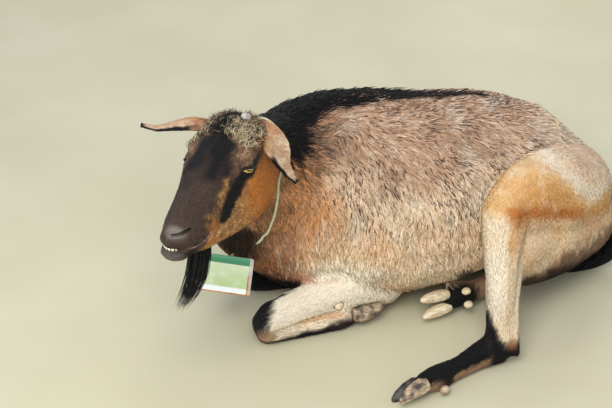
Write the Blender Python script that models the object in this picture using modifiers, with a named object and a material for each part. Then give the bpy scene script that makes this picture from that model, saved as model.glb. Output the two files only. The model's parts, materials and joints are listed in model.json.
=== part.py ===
"""A life-size goat lying at rest, as the still model that a museum shows.

The goat faces -X and its left side faces -Y. It lies on its breastbone with the pelvis rolled on to
the right hip: the left hind leg is stretched out to the left, the right hind foot shows from under
the belly, both forelegs are folded, and the head is turned to the left.

Each fleshy piece is a set of lofted tubes that a voxel remesh fuses and a smoothing pass rounds. A
piece is then cut back by each separate piece that it meets, with a thin clearance, so that no two
solids overlap. All sizes are in metres.
"""

import math

import bmesh
import bpy
from mathutils import Matrix, Vector
from mathutils.bvhtree import BVHTree

BODY_TRIANGLES = 1350
FINE_WEIGHT = 0.85  # how freely the triangles of a detailed area are merged
CLEARANCE = 0.0009  # gap between two pieces that meet
SIDES = 20  # corners of a lofted ring
STEPS = 4  # rings from one station to the next
LEFT = Vector((0, -1, 0))
UP = Vector((0, 0, 1))

# The head's own frame: its origin is the poll, +X runs down the face and +Y to the left ear.
POLL = Vector((-0.297, -0.105, 0.452))
HEAD_TURN = math.radians(57)  # the nose is turned to the goat's left
HEAD_DIP = math.radians(11)  # the face slopes down this much
HEAD_ROLL = math.radians(4)  # the left side of the head is raised this much
CHEW = -0.007  # the goat is chewing, which pushes its lips to its right
JAW_SLIDE = -0.016  # and its lower jaw further

# Where the neck is parted from the trunk and the head: a centre, a facing and a radius.
NECK_BASE = ((-0.178, 0.028, 0.280), (-0.78, -0.30, 0.55), 0.245)
THROAT = ((-0.248, -0.050, 0.372), (-0.45, -0.66, 0.60), 0.155)

CORD_RADIUS = 0.0022
CORD_LIFT = 0.0033  # the hair holds the cord this far off
CORD_CENTRE = Vector((-0.262, -0.020, 0.270))  # inside the neck
# The cord's route near the skin: from the nape down the left side, round the front of the chest,
# and up the right side.
CORD_ROUTE = [
    (-0.246, -0.036, 0.404),
    (-0.236, -0.078, 0.375),
    (-0.235, -0.102, 0.322),
    (-0.235, -0.094, 0.271),
    (-0.242, -0.074, 0.217),
    (-0.251, -0.049, 0.174),
    (-0.276, -0.039, 0.154),
    (-0.305, -0.016, 0.146),
    (-0.322, 0.018, 0.152),
    (-0.312, 0.056, 0.182),
    (-0.300, 0.058, 0.240),
    (-0.296, 0.034, 0.305),
    (-0.276, 0.000, 0.370),
]

CARD_WIDTH = 0.093
CARD_HEIGHT = 0.066
CARD_THICK = 0.0025
CARD_CENTRE = Vector((-0.3165, -0.0536, 0.1240))
CARD_FACING = (-0.25, -0.93, 0.27)
CARD_TILT = math.radians(-6.5)

SHIFT = Vector((0.005, 0.0355, 0))  # takes the middle of the goat's box to the origin

# Coat colours, for telling the pieces apart.
BROWN = (0.36, 0.23, 0.14)
CREAM = (0.62, 0.48, 0.33)
BLACK = (0.03, 0.025, 0.025)
HORN = (0.70, 0.62, 0.50)


# ------------------------------------------------------------------ scene and materials


def clear_scene():
    for old in list(bpy.data.objects):
        bpy.data.objects.remove(old)


def material(name, colour, roughness=0.8):
    made = bpy.data.materials.new(name)
    made.use_nodes = True
    shader = made.node_tree.nodes["Principled BSDF"]
    shader.inputs["Base Color"].default_value = (*colour, 1)
    shader.inputs["Roughness"].default_value = roughness
    return made


# ------------------------------------------------------------------ modelling tools


def add_object(name, mesh):
    made = bpy.data.objects.new(name, mesh)
    bpy.context.scene.collection.objects.link(made)
    return made


def object_from(name, bm, finish=None):
    mesh = bpy.data.meshes.new(name)
    bm.to_mesh(mesh)
    bm.free()
    if finish:
        mesh.materials.append(finish)
    return add_object(name, mesh)


def apply_modifiers(obj):
    """Replaces the object's mesh by the one that its modifiers make."""
    bpy.context.view_layer.update()
    graph = bpy.context.evaluated_depsgraph_get()
    mesh = bpy.data.meshes.new_from_object(obj.evaluated_get(graph))
    obj.modifiers.clear()
    obj.data = mesh
    return obj


def face_outwards(obj):
    bm = bmesh.new()
    bm.from_mesh(obj.data)
    bmesh.ops.recalc_face_normals(bm, faces=bm.faces)
    bm.to_mesh(obj.data)
    bm.free()
    return obj


def curve_value(before, low, high, after, t):
    """A value t of the way from low to high, on the smooth curve through all four."""
    slope = (high - before) / 2
    bend = before - 2.5 * low + 2 * high - after / 2
    twist = 1.5 * (low - high) + (after - before) / 2
    return low + t * (slope + t * (bend + t * twist))


def between(stations, steps=STEPS):
    """The stations with more worked out between them, on a smooth curve through each value."""
    last = len(stations) - 1
    made = []
    for i in range(last):
        four = [stations[min(max(k, 0), last)] for k in range(i - 1, i + 3)]
        for step in range(steps):
            made.append([curve_value(*values, step / steps) for values in zip(*four)])
    made.append(list(stations[-1]))
    return made


def skin_loops(loops):
    """A closed bmesh over a row of point loops with equal counts."""
    bm = bmesh.new()
    rings = [[bm.verts.new(point) for point in loop] for loop in loops]
    for low, high in zip(rings, rings[1:]):
        for k in range(len(low)):
            after = (k + 1) % len(low)
            bm.faces.new((low[k], low[after], high[after], high[k]))
    bm.faces.new(rings[0])
    bm.faces.new(rings[-1])
    bmesh.ops.recalc_face_normals(bm, faces=bm.faces)
    return bm


def power(value, exponent):
    return math.copysign(abs(value) ** exponent, value)


def tube(stations, side=LEFT, squareness=2.0, sides=SIDES, steps=STEPS):
    """A lofted tube. A station is (x, y, z, half width along side, rise above, drop below)."""
    rings = between(stations, steps)
    centres = [Vector(ring[:3]) for ring in rings]
    loops = []
    for i, (ring, centre) in enumerate(zip(rings, centres)):
        ahead = centres[min(i + 1, len(centres) - 1)] - centres[max(i - 1, 0)]
        ahead.normalize()
        right = (Vector(side) - ahead * ahead.dot(Vector(side))).normalized()
        above = right.cross(ahead)
        width, rise, drop = ring[3:6]
        loop = []
        for k in range(sides):
            turn = 2 * math.pi * k / sides
            across = power(math.cos(turn), 2 / squareness) * width
            up = power(math.sin(turn), 2 / squareness)
            up *= rise if up > 0 else drop
            loop.append(centre + right * across + above * up)
        loops.append(loop)
    return skin_loops(loops)


def dome(inner, end):
    """The end station and three smaller ones past it, which close a limb like a dome."""
    ahead = (Vector(end[:3]) - Vector(inner[:3])).normalized()
    size = min(end[3:6])
    made = [end]
    for angle in (35, 60, 82):
        centre = Vector(end[:3]) + ahead * size * math.sin(math.radians(angle))
        made.append((*centre, *(v * math.cos(math.radians(angle)) for v in end[3:6])))
    return made


def limb(*stations, side=LEFT, sides=SIDES, steps=STEPS):
    """A round-ended tube. A station is (x, y, z, half width along side, half depth)."""
    full = [(*s, s[4]) for s in stations]
    whole = dome(full[1], full[0])[::-1] + full[1:-1] + dome(full[-2], full[-1])
    return tube(whole, side, sides=sides, steps=steps)


def ball(centre, radii, frame=Matrix.Identity(4), segments=10):
    """An ellipsoid with the given half sizes along the frame's axes."""
    bm = bmesh.new()
    place = frame @ Matrix.Translation(centre) @ Matrix.Diagonal((*radii, 1))
    bmesh.ops.create_uvsphere(bm, u_segments=segments, v_segments=segments * 2 // 3, radius=1, matrix=place)
    return bm


def fuse(name, shapes, voxel, smoothing, triangles, finish, fine=None):
    """One closed skin over all the shapes, smoothed and thinned to about that many triangles.

    The triangles stay smaller within the distance fine[1] of the point fine[0].
    """
    together, mesh = bmesh.new(), bpy.data.meshes.new(name)
    for shape in shapes:
        shape.to_mesh(mesh)
        shape.free()
        together.from_mesh(mesh)
    obj = object_from(name, together)
    remesh = obj.modifiers.new("fuse", "REMESH")
    remesh.mode = "VOXEL"
    remesh.voxel_size = voxel
    soften = obj.modifiers.new("soften", "SMOOTH")
    soften.factor = 0.5
    soften.iterations = smoothing
    apply_modifiers(obj)
    thin = obj.modifiers.new("thin", "DECIMATE")
    thin.ratio = min(1.0, triangles / (2 * len(obj.data.polygons)))
    if fine:
        group = obj.vertex_groups.new(name="coarse")
        for vert in obj.data.vertices:
            near = (vert.co - fine[0]).length < fine[1]
            group.add([vert.index], FINE_WEIGHT if near else 1.0, "REPLACE")
        thin.vertex_group = group.name
    apply_modifiers(obj)
    obj.data.materials.clear()
    obj.data.materials.append(finish)
    return obj


def loose_parts(obj):
    """The object's separate islands as sets of vertices, the largest first."""
    bm = bmesh.new()
    bm.from_mesh(obj.data)
    seen, islands = set(), []
    for start in bm.verts:
        if start.index in seen:
            continue
        seen.add(start.index)
        island, front = set(), [start]
        while front:
            vert = front.pop()
            island.add(vert.index)
            for edge in vert.link_edges:
                other = edge.other_vert(vert)
                if other.index not in seen:
                    seen.add(other.index)
                    front.append(other)
        islands.append(island)
    bm.free()
    return sorted(islands, key=len, reverse=True)


def keep_island(obj, island):
    """Leaves only that island of the object."""
    bm = bmesh.new()
    bm.from_mesh(obj.data)
    bm.verts.ensure_lookup_table()
    loose = [v for v in bm.verts if v.index not in island]
    bmesh.ops.delete(bm, geom=loose, context="VERTS")
    bm.to_mesh(obj.data)
    bm.free()
    return obj


def cut(obj, cutter):
    """Takes the cutter's space out of the object, and removes the cutter."""
    trim = obj.modifiers.new("cut", "BOOLEAN")
    trim.operation = "DIFFERENCE"
    trim.solver = "EXACT"
    trim.object = cutter
    apply_modifiers(obj)
    bpy.data.objects.remove(cutter)
    return obj


def swollen(obj, by):
    """A copy of the object grown outwards, which leaves a clearance where it cuts."""
    copy = add_object(obj.name + "_cutter", obj.data.copy())
    grow = copy.modifiers.new("grow", "DISPLACE")
    grow.strength = by
    grow.mid_level = 0
    return apply_modifiers(copy)


def make_room(obj, *neighbours, gap=CLEARANCE):
    """Cuts the object back from its neighbours and keeps its largest body."""
    for neighbour in neighbours:
        cut(obj, swollen(neighbour, gap))
    return keep_island(obj, loose_parts(obj)[0])


def rest_on_floor(obj):
    """Cuts off what would sink into the floor, which leaves small flats at one level."""
    bm = bmesh.new()
    bmesh.ops.create_cube(bm, size=2, matrix=Matrix.Translation((0, 0, -1)))
    cut(obj, object_from("floor_cutter", bm))
    return keep_island(obj, loose_parts(obj)[0])


def split_by_disc(obj, centre, facing, radius, names):
    """Cuts the object in two with a thin round disc. The first name goes to the side it faces."""
    facing = Vector(facing).normalized()
    place = Matrix.Translation(centre) @ facing.to_track_quat("Z", "Y").to_matrix().to_4x4()
    bm = bmesh.new()
    bmesh.ops.create_cone(
        bm,
        cap_ends=True,
        segments=40,
        radius1=radius,
        radius2=radius,
        depth=CLEARANCE,
        matrix=place,
    )
    cut(obj, object_from("disc_cutter", bm))
    sides = {}
    for island in loose_parts(obj)[:2]:
        middle = sum((obj.data.vertices[i].co for i in island), Vector()) / len(island)
        sides[(middle - Vector(centre)).dot(facing) > 0] = island
    other = add_object(names[1], obj.data.copy())
    obj.name = names[0]
    keep_island(obj, sides[True])
    keep_island(other, sides[False])
    return obj, other


# ------------------------------------------------------------------ trunk, neck and tail


def trunk_shapes():
    """The barrel of the body and its hanging belly."""
    barrel = tube(
        [
            (-0.322, 0.018, 0.172, 0.026, 0.040, 0.026),
            (-0.304, 0.022, 0.172, 0.058, 0.080, 0.050),
            (-0.268, 0.032, 0.170, 0.086, 0.128, 0.082),
            (-0.225, 0.044, 0.170, 0.106, 0.172, 0.124),
            (-0.170, 0.054, 0.170, 0.122, 0.206, 0.152),
            (-0.100, 0.060, 0.165, 0.138, 0.215, 0.170),
            (-0.020, 0.054, 0.160, 0.158, 0.213, 0.152),
            (0.060, 0.050, 0.166, 0.170, 0.199, 0.136),
            (0.140, 0.054, 0.174, 0.168, 0.180, 0.118),
            (0.210, 0.058, 0.168, 0.155, 0.160, 0.112),
            (0.270, 0.060, 0.156, 0.134, 0.140, 0.116),
            (0.330, 0.062, 0.145, 0.106, 0.094, 0.112),
            (0.372, 0.062, 0.130, 0.076, 0.056, 0.088),
            (0.398, 0.062, 0.125, 0.034, 0.022, 0.040),
        ],
        squareness=2.15,
    )
    belly = limb(
        (-0.13, 0.074, 0.090, 0.086, 0.092),
        (0.02, 0.084, 0.094, 0.112, 0.096),
        (0.14, 0.118, 0.094, 0.108, 0.096),
        (0.26, 0.128, 0.090, 0.092, 0.092),
    )
    return [barrel, belly]


def neck_shapes():
    return [
        tube(
            [
                (-0.110, 0.060, 0.250, 0.070, 0.118, 0.110),
                (-0.165, 0.038, 0.268, 0.084, 0.118, 0.130),
                (-0.215, 0.000, 0.300, 0.074, 0.092, 0.126),
                (-0.250, -0.040, 0.340, 0.060, 0.064, 0.104),
                (-0.270, -0.072, 0.380, 0.050, 0.042, 0.078),
            ],
            side=(-0.77, 0.64, 0),
        )
    ]


def tail():
    return fuse(
        "tail",
        [
            limb(
                (0.372, 0.058, 0.160, 0.018, 0.018),
                (0.416, 0.056, 0.124, 0.022, 0.017),
                (0.4260, 0.040, 0.070, 0.026, 0.015),
                (0.392, 0.024, 0.032, 0.025, 0.015),
                (0.350, 0.018, 0.019, 0.020, 0.014),
                (0.315, 0.016, 0.012, 0.010, 0.009),
            )
        ],
        0.004,
        4,
        150,
        material("tail_hair", BLACK),
    )


# ------------------------------------------------------------------ legs


def left_foreleg():
    """Folded: the forearm runs forward to the knee, and the cannon lies back beside it."""
    return fuse(
        "foreleg_left",
        [
            limb(
                (-0.190, 0.000, 0.165, 0.050, 0.060),
                (-0.110, -0.014, 0.115, 0.050, 0.062),
                (-0.034, -0.026, 0.062, 0.042, 0.047),
            ),
            limb(
                (-0.034, -0.028, 0.058, 0.038, 0.045),
                (-0.100, -0.045, 0.061, 0.034, 0.040),
                (-0.180, -0.064, 0.054, 0.029, 0.033),
                (-0.238, -0.078, 0.043, 0.028, 0.031),
                (-0.256, -0.084, 0.037, 0.022, 0.026),
            ),
            limb(
                (-0.252, -0.090, 0.025, 0.021, 0.025),
                (-0.205, -0.083, 0.018, 0.017, 0.020),
                (-0.160, -0.077, 0.017, 0.016, 0.020),
                (-0.125, -0.072, 0.022, 0.020, 0.024),
                (-0.100, -0.068, 0.024, 0.017, 0.018),
            ),
        ],
        0.004,
        5,
        310,
        material("foreleg_coat", CREAM),
    )


def right_foreleg():
    """Folded under the brisket, with only the knee showing in front of it."""
    return fuse(
        "foreleg_right",
        [
            limb(
                (-0.180, 0.142, 0.165, 0.045, 0.058),
                (-0.110, 0.176, 0.112, 0.045, 0.064),
                (-0.040, 0.176, 0.062, 0.040, 0.048),
            ),
            limb(
                (-0.040, 0.174, 0.056, 0.038, 0.044),
                (-0.110, 0.150, 0.058, 0.036, 0.042),
                (-0.190, 0.106, 0.050, 0.030, 0.034),
                (-0.232, 0.088, 0.040, 0.029, 0.031),
                (-0.250, 0.080, 0.036, 0.022, 0.026),
            ),
            limb(
                (-0.243, 0.076, 0.025, 0.021, 0.024),
                (-0.200, 0.074, 0.020, 0.018, 0.022),
                (-0.150, 0.080, 0.019, 0.018, 0.022),
                (-0.115, 0.084, 0.023, 0.020, 0.021),
                (-0.090, 0.087, 0.024, 0.017, 0.018),
            ),
            limb(
                (-0.205, 0.088, 0.036, 0.026, 0.026),
                (-0.150, 0.108, 0.038, 0.030, 0.028),
                (-0.100, 0.124, 0.042, 0.028, 0.026),
            ),
        ],
        0.004,
        8,
        290,
        material("foreleg_coat", CREAM),
    )


def left_hind_leg():
    """Stretched out to the left: the stifle is up, and the cannon lies flat in front of the hock."""
    return fuse(
        "hind_leg_left",
        [
            limb(
                (0.296, 0.004, 0.182, 0.086, 0.092),
                (0.240, -0.050, 0.208, 0.078, 0.094),
                (0.182, -0.102, 0.228, 0.060, 0.078),
                (0.146, -0.134, 0.234, 0.044, 0.056),
            ),
            limb(
                (0.326, 0.010, 0.122, 0.070, 0.076),
                (0.262, -0.050, 0.130, 0.064, 0.080),
                (0.200, -0.112, 0.140, 0.044, 0.068),
                (0.160, -0.150, 0.158, 0.034, 0.052),
            ),
            limb(
                (0.138, -0.144, 0.234, 0.040, 0.046),
                (0.131, -0.165, 0.196, 0.036, 0.038),
                (0.124, -0.188, 0.154, 0.028, 0.032),
                (0.119, -0.207, 0.110, 0.024, 0.027),
                (0.116, -0.219, 0.070, 0.023, 0.024),
                (0.114, -0.226, 0.040, 0.026, 0.026),
                side=(1, 0, 0),
            ),
            limb(
                (0.156, -0.170, 0.160, 0.014, 0.014),
                (0.143, -0.210, 0.100, 0.010, 0.010),
                (0.138, -0.233, 0.050, 0.012, 0.013),
                (0.139, -0.240, 0.028, 0.012, 0.012),
                side=(1, 0, 0),
            ),
            limb(
                (0.110, -0.228, 0.031, 0.024, 0.032),
                (0.075, -0.238, 0.025, 0.018, 0.025),
                (0.026, -0.262, 0.021, 0.016, 0.022),
                (-0.005, -0.279, 0.023, 0.020, 0.024),
                (-0.032, -0.291, 0.024, 0.018, 0.018),
            ),
        ],
        0.004,
        5,
        440,
        material("hind_leg_coat", CREAM),
    )


def right_hind_leg():
    """Tucked under the belly, with the foot showing on the left."""
    return fuse(
        "hind_leg_right",
        [
            limb(
                (0.310, 0.145, 0.120, 0.070, 0.085),
                (0.220, 0.190, 0.100, 0.060, 0.082),
                (0.130, 0.208, 0.070, 0.050, 0.058),
            ),
            limb(
                (0.135, 0.203, 0.056, 0.046, 0.053),
                (0.195, 0.115, 0.042, 0.036, 0.036),
                (0.232, 0.040, 0.034, 0.030, 0.034),
            ),
            limb(
                (0.232, 0.030, 0.034, 0.027, 0.030),
                (0.180, -0.014, 0.028, 0.018, 0.020),
                (0.130, -0.044, 0.028, 0.018, 0.020),
                (0.100, -0.058, 0.033, 0.021, 0.022),
                (0.072, -0.070, 0.031, 0.018, 0.019),
            ),
        ],
        0.004,
        5,
        400,
        material("hind_leg_coat", CREAM),
    )


# ------------------------------------------------------------------ head


def head_frame():
    """The matrix that takes the head's own coordinates to the room's."""
    turn = Matrix.Rotation(math.pi + HEAD_TURN, 4, "Z")
    dip = Matrix.Rotation(HEAD_DIP, 4, "Y")
    roll = Matrix.Rotation(HEAD_ROLL, 4, "X")
    return Matrix.Translation(POLL) @ turn @ dip @ roll


def head_section(values):
    """A loop round the head from its top, three half widths with their heights, and its bottom."""
    x, top, brow, brow_z, cheek, cheek_z, jaw, jaw_z, bottom = values
    right_half = [(0, top), (brow, brow_z), (cheek, cheek_z), (jaw, jaw_z), (0, bottom)]
    mirrored = [(-y, z) for y, z in right_half[-2:0:-1]]
    ring = right_half + mirrored
    loop = []
    for i in range(len(ring)):
        four = [ring[(i + k) % len(ring)] for k in (-1, 0, 1, 2)]
        for step in range(3):
            y, z = (curve_value(*v, step / 3) for v in zip(*four))
            loop.append(head_frame() @ Vector((x, y, z)))
    return loop


def skull_and_muzzle():
    """Sections from nape to lips: x, top, (brow), (cheek) and (jaw) half width and height, bottom."""
    sections = [
        (-0.050, -0.048, 0.024, -0.056, 0.030, -0.074, 0.026, -0.098, -0.112),
        (-0.018, -0.012, 0.040, -0.026, 0.046, -0.062, 0.047, -0.118, -0.140),
        (0.018, 0.008, 0.048, -0.012, 0.053, -0.064, 0.053, -0.134, -0.158),
        (0.055, 0.013, 0.051, -0.010, 0.056, -0.066, 0.054, -0.138, -0.162),
        (0.095, 0.009, 0.051, -0.016, 0.055, -0.066, 0.052, -0.129, -0.154),
        (0.127, 0.004, 0.043, -0.017, 0.049, -0.060, 0.047, -0.119, -0.142),
        (0.160, 0.000, 0.033, -0.016, 0.041, -0.054, 0.040, -0.108, -0.129),
        (0.190, -0.005, 0.029, -0.019, 0.036, -0.050, 0.035, -0.097, -0.116),
        (0.220, -0.010, 0.027, -0.023, 0.035, -0.047, 0.030, -0.085, -0.103),
        (0.246, -0.018, 0.024, -0.029, 0.031, -0.046, 0.024, -0.070, -0.084),
        (0.262, -0.034, 0.014, -0.039, 0.017, -0.049, 0.013, -0.061, -0.068),
    ]
    return skin_loops([head_section(values) for values in between(sections, 3)])


def head_shapes():
    frame = head_frame()
    brows = [ball((0.090, out * 0.047, -0.017), (0.024, 0.012, 0.012), frame) for out in (-1, 1)]
    cheeks = [ball((0.058, out * 0.036, -0.104), (0.052, 0.023, 0.044), frame) for out in (-1, 1)]
    upper_lip = ball((0.249, CHEW - 0.005, -0.054), (0.018, 0.028, 0.014), frame)
    chin = ball((0.242, JAW_SLIDE, -0.081), (0.027, 0.027, 0.017), frame)
    return [skull_and_muzzle(), *brows, *cheeks, upper_lip, chin]


def eye(out, name):
    centre = head_frame() @ Vector((0.0925, out * 0.0450, -0.032))
    finish = material("eye", (0.55, 0.40, 0.08), 0.1)
    return object_from(name, ball(centre, (0.0140, 0.0140, 0.0140)), finish)


def mouth_line():
    """The gap between the lips, from one corner of the mouth round to the other."""
    frame = head_frame()
    stations = []
    for x, y, z, reach, height in (
        (0.188, 0.040, -0.078, 0.004, 0.0016),
        (0.206, 0.036, -0.072, 0.010, 0.0026),
        (0.234, 0.026, -0.066, 0.012, 0.0032),
        (0.258, 0.008, -0.065, 0.012, 0.0034),
        (0.267, -0.013, -0.065, 0.011, 0.0034),
        (0.258, -0.031, -0.065, 0.012, 0.0034),
        (0.234, -0.040, -0.066, 0.012, 0.0032),
        (0.206, -0.040, -0.072, 0.010, 0.0026),
        (0.188, -0.041, -0.078, 0.004, 0.0016),
    ):
        stations.append((*(frame @ Vector((x, y, z))), height, reach, reach))
    return tube(stations, side=frame.to_3x3() @ Vector((0, 0, 1)), sides=6, steps=1)


def nostril(out):
    """A slanting slit, narrow at its outer end."""
    frame = head_frame() @ Matrix.Translation((0.254, CHEW + out * 0.0135, -0.035))
    frame @= Matrix.Rotation(math.radians(16 * out), 4, "X")
    return ball((0, 0, 0), (0.010, 0.010, 0.0030), frame, 7)


def carve(body, *shapes):
    for shape in shapes:
        cut(body, object_from("carver", shape))


def horn_stub(name, place, length, radius):
    """What is left of a horn that was taken off young: a low blunt nub."""
    frame = head_frame() @ Matrix.Translation(place)
    shape = ball((0, 0, 0), (radius, radius * 0.8, length), frame)
    return object_from(name, shape, material("horn", HORN, 0.5))


def ear(name, line, width, cup, across):
    """A leaf-shaped ear: a cupped sheet along a bent line, made as thick as a real one."""
    rings = between(line, 2)
    centres = [Vector(ring[:3]) for ring in rings]
    count, rows = 4, len(rings)
    bm = bmesh.new()
    grid = []
    for i, centre in enumerate(centres):
        share = i / (rows - 1)
        ahead = (centres[min(i + 1, rows - 1)] - centres[max(i - 1, 0)]).normalized()
        wide = (Vector(across) - ahead * ahead.dot(Vector(across))).normalized()
        hollow = wide.cross(ahead)
        half = width * (0.42 + 0.58 * math.sin(math.pi * min(1, share * 1.15 + 0.18)))
        half *= 1 if share < 0.72 else math.cos((share - 0.72) / 0.28 * math.pi / 2)
        half = max(half, 0.005)
        row = []
        for k in range(count + 1):
            s = 2 * k / count - 1
            row.append(bm.verts.new(centre + wide * half * s + hollow * cup * half * s * s))
        grid.append(row)
    for low, high in zip(grid, grid[1:]):
        for k in range(count):
            bm.faces.new((low[k], low[k + 1], high[k + 1], high[k]))
    obj = object_from(name, bm, material("ear_coat", CREAM))
    wall = obj.modifiers.new("wall", "SOLIDIFY")
    wall.thickness = 0.0045
    wall.offset = 0
    return face_outwards(apply_modifiers(obj))


def left_ear():
    """It hangs out and down beside the cheek."""
    line = [
        (-0.273, -0.128, 0.437),
        (-0.257, -0.138, 0.423),
        (-0.243, -0.146, 0.402),
        (-0.236, -0.151, 0.381),
        (-0.226, -0.154, 0.362),
        (-0.213, -0.156, 0.345),
    ]
    return ear("ear_left", line, 0.023, -0.30, (0.86, 0.47, 0.14))


def right_ear():
    """It is held out to the side, level and nearly edge on."""
    line = [
        (-0.338, -0.082, 0.426),
        (-0.367, -0.073, 0.429),
        (-0.394, -0.066, 0.424),
        (-0.420, -0.061, 0.417),
        (-0.446, -0.057, 0.423),
    ]
    return ear("ear_right", line, 0.022, 0.25, (-0.45, -0.85, 0.0))


def beard():
    """Long hair that hangs from the chin."""
    shape = limb(
        (-0.381, -0.244, 0.312, 0.013, 0.016),
        (-0.386, -0.248, 0.280, 0.018, 0.018),
        (-0.392, -0.251, 0.252, 0.017, 0.016),
        (-0.404, -0.255, 0.226, 0.013, 0.012),
        (-0.420, -0.259, 0.200, 0.003, 0.003),
        side=(0.6, -0.8, 0),
        sides=10,
        steps=1,
    )
    return object_from("beard", shape, material("beard_hair", BLACK))


def lower_teeth():
    """The row of lower front teeth, which the parted lips show, as one curved bar."""
    stations = []
    for k in range(-4, 5):
        turn = math.radians(k * 17)
        reach = Vector((0.2445 + 0.0185 * math.cos(turn), JAW_SLIDE + 0.0185 * math.sin(turn), -0.0665))
        stations.append((*(head_frame() @ reach), 0.0028, 0.0014, 0.0014))
    tall = head_frame().to_3x3() @ Vector((0, 0, 1))
    bar = tube(stations, side=tall, squareness=3.0, sides=8, steps=1)
    return object_from("lower_teeth", bar, material("tooth", (0.8, 0.75, 0.62), 0.3))


# ------------------------------------------------------------------ feet


def foot_frame(place, toe, front):
    """A frame with +X towards the toe and +Z towards the front of the foot."""
    x = Vector(toe).normalized()
    z = (Vector(front) - x * x.dot(Vector(front))).normalized()
    y = z.cross(x)
    turn = Matrix((x, y, z)).transposed().to_4x4()
    return Matrix.Translation(place) @ turn


def claw(name, frame, out, finish):
    """One half of a cloven hoof: a wedge with a flat sole and a blunt toe."""
    spread = Matrix.Rotation(math.radians(4 * out), 4, "Z")
    stations = [
        (-0.004, 0, 0.000, 0.0085, 0.010, 0.011),
        (0.008, 0, 0.000, 0.0100, 0.015, 0.014),
        (0.024, 0, -0.001, 0.0100, 0.013, 0.013),
        (0.040, 0, -0.004, 0.0080, 0.009, 0.010),
        (0.050, 0, -0.007, 0.0048, 0.005, 0.007),
        (0.054, 0, -0.009, 0.0020, 0.002, 0.004),
    ]
    bm = tube(stations, side=(0, -1, 0), squareness=2.4, sides=8, steps=1)
    bm.transform(frame @ Matrix.Translation((0, out * 0.0112, 0)) @ spread)
    return object_from(name, bm, finish)


def dew_claw(name, frame, out, finish):
    shape = ball((-0.030, out * 0.012, -0.021), (0.009, 0.007, 0.008), frame, 7)
    return object_from(name, shape, finish)


def foot(name, frame, dew_claws):
    """Two claws, and the dew claws that aren't buried in the folded leg."""
    finish = material("hoof_horn", HORN, 0.5)
    made = []
    for out, side in ((-1, "a"), (1, "b")):
        made.append(claw(f"hoof_{name}_{side}", frame, out, finish))
        if side in dew_claws:
            made.append(dew_claw(f"dew_claw_{name}_{side}", frame, out, finish))
    return made


def feet():
    """Where each foot is: its place, the way its toe points and the way its front faces."""
    return {
        "fore_left": foot_frame((-0.098, -0.068, 0.024), (1, 0.22, -0.08), (-0.1, -0.45, -1)),
        "fore_right": foot_frame((-0.088, 0.087, 0.022), (1, 0.15, 0.0), (0, 0.3, -1)),
        "hind_left": foot_frame((-0.034, -0.292, 0.022), (-1, -0.34, -0.10), (-0.2, 0.5, 1)),
        "hind_right": foot_frame((0.068, -0.071, 0.031), (-1, -0.30, 0.0), (0, 1, -0.35)),
    }


# ------------------------------------------------------------------ neck cord and card


def cord_path(body):
    """Points just off the skin, where rays from inside the neck come out along the route."""
    surface = BVHTree.FromObject(body, bpy.context.evaluated_depsgraph_get())
    route = CORD_ROUTE[-1:] + CORD_ROUTE + CORD_ROUTE[:2]
    path = []
    for four in zip(route, route[1:], route[2:], route[3:]):
        for step in range(3):
            near = Vector(curve_value(*values, step / 3) for values in zip(*four))
            path.append(surface.ray_cast(CORD_CENTRE, near - CORD_CENTRE)[0])
    count = len(path)
    for _ in range(6):
        path = [(path[k - 1] + 2 * path[k] + path[(k + 1) % count]) / 4 for k in range(count)]
        path = [keep_off(surface, point) for point in path]
    return path


def keep_off(surface, point):
    """The point, moved outwards where the cord's axis would lie too near the skin."""
    place, out, _, _ = surface.find_nearest(point)
    gap = (point - place).dot(out)
    return point + out * max(0, CORD_RADIUS + CORD_LIFT - gap)


def neck_cord(path):
    """A thin cord tied in a ring round the neck."""
    bm = bmesh.new()
    loops = []
    count, corners = len(path), 5
    for k, point in enumerate(path):
        ahead = (path[(k + 1) % count] - path[k - 1]).normalized()
        out = (point - CORD_CENTRE).normalized()
        out = (out - ahead * ahead.dot(out)).normalized()
        side = ahead.cross(out)
        loop = []
        for corner in range(corners):
            turn = 2 * math.pi * corner / corners
            way = out * math.cos(turn) + side * math.sin(turn)
            loop.append(bm.verts.new(point + way * CORD_RADIUS))
        loops.append(loop)
    for k, loop in enumerate(loops):
        after = loops[(k + 1) % count]
        for corner in range(corners):
            other = (corner + 1) % corners
            bm.faces.new((loop[corner], loop[other], after[other], after[corner]))
    bmesh.ops.recalc_face_normals(bm, faces=bm.faces)
    return object_from("neck_cord", bm, material("cord", (0.45, 0.62, 0.12), 0.6))


def name_card():
    """A flat card with round corners, which hangs from the cord."""
    bm = bmesh.new()
    place = Matrix.Diagonal((CARD_WIDTH, CARD_HEIGHT, CARD_THICK, 1))
    bmesh.ops.create_cube(bm, size=1, matrix=place)
    corners = [e for e in bm.edges if abs(e.verts[0].co.z - e.verts[1].co.z) > CARD_THICK / 2]
    bmesh.ops.bevel(
        bm, geom=corners, offset=0.006, segments=4, affect="EDGES", profile=0.5
    )
    facing = Vector(CARD_FACING).normalized()
    up = (UP - facing * facing.z).normalized()
    turn = Matrix((up.cross(facing), up, facing)).transposed().to_4x4()
    tilt = Matrix.Rotation(CARD_TILT, 4, "Z")
    bm.transform(Matrix.Translation(CARD_CENTRE) @ turn @ tilt)
    return object_from("name_card", bm, material("card", (0.35, 0.62, 0.40), 0.35))


# ------------------------------------------------------------------ the whole goat


def move_to_origin():
    """Sets the middle of the goat's box over the origin, with the floor at height zero."""
    for obj in bpy.data.objects:
        obj.data.transform(Matrix.Translation(SHIFT))


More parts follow.
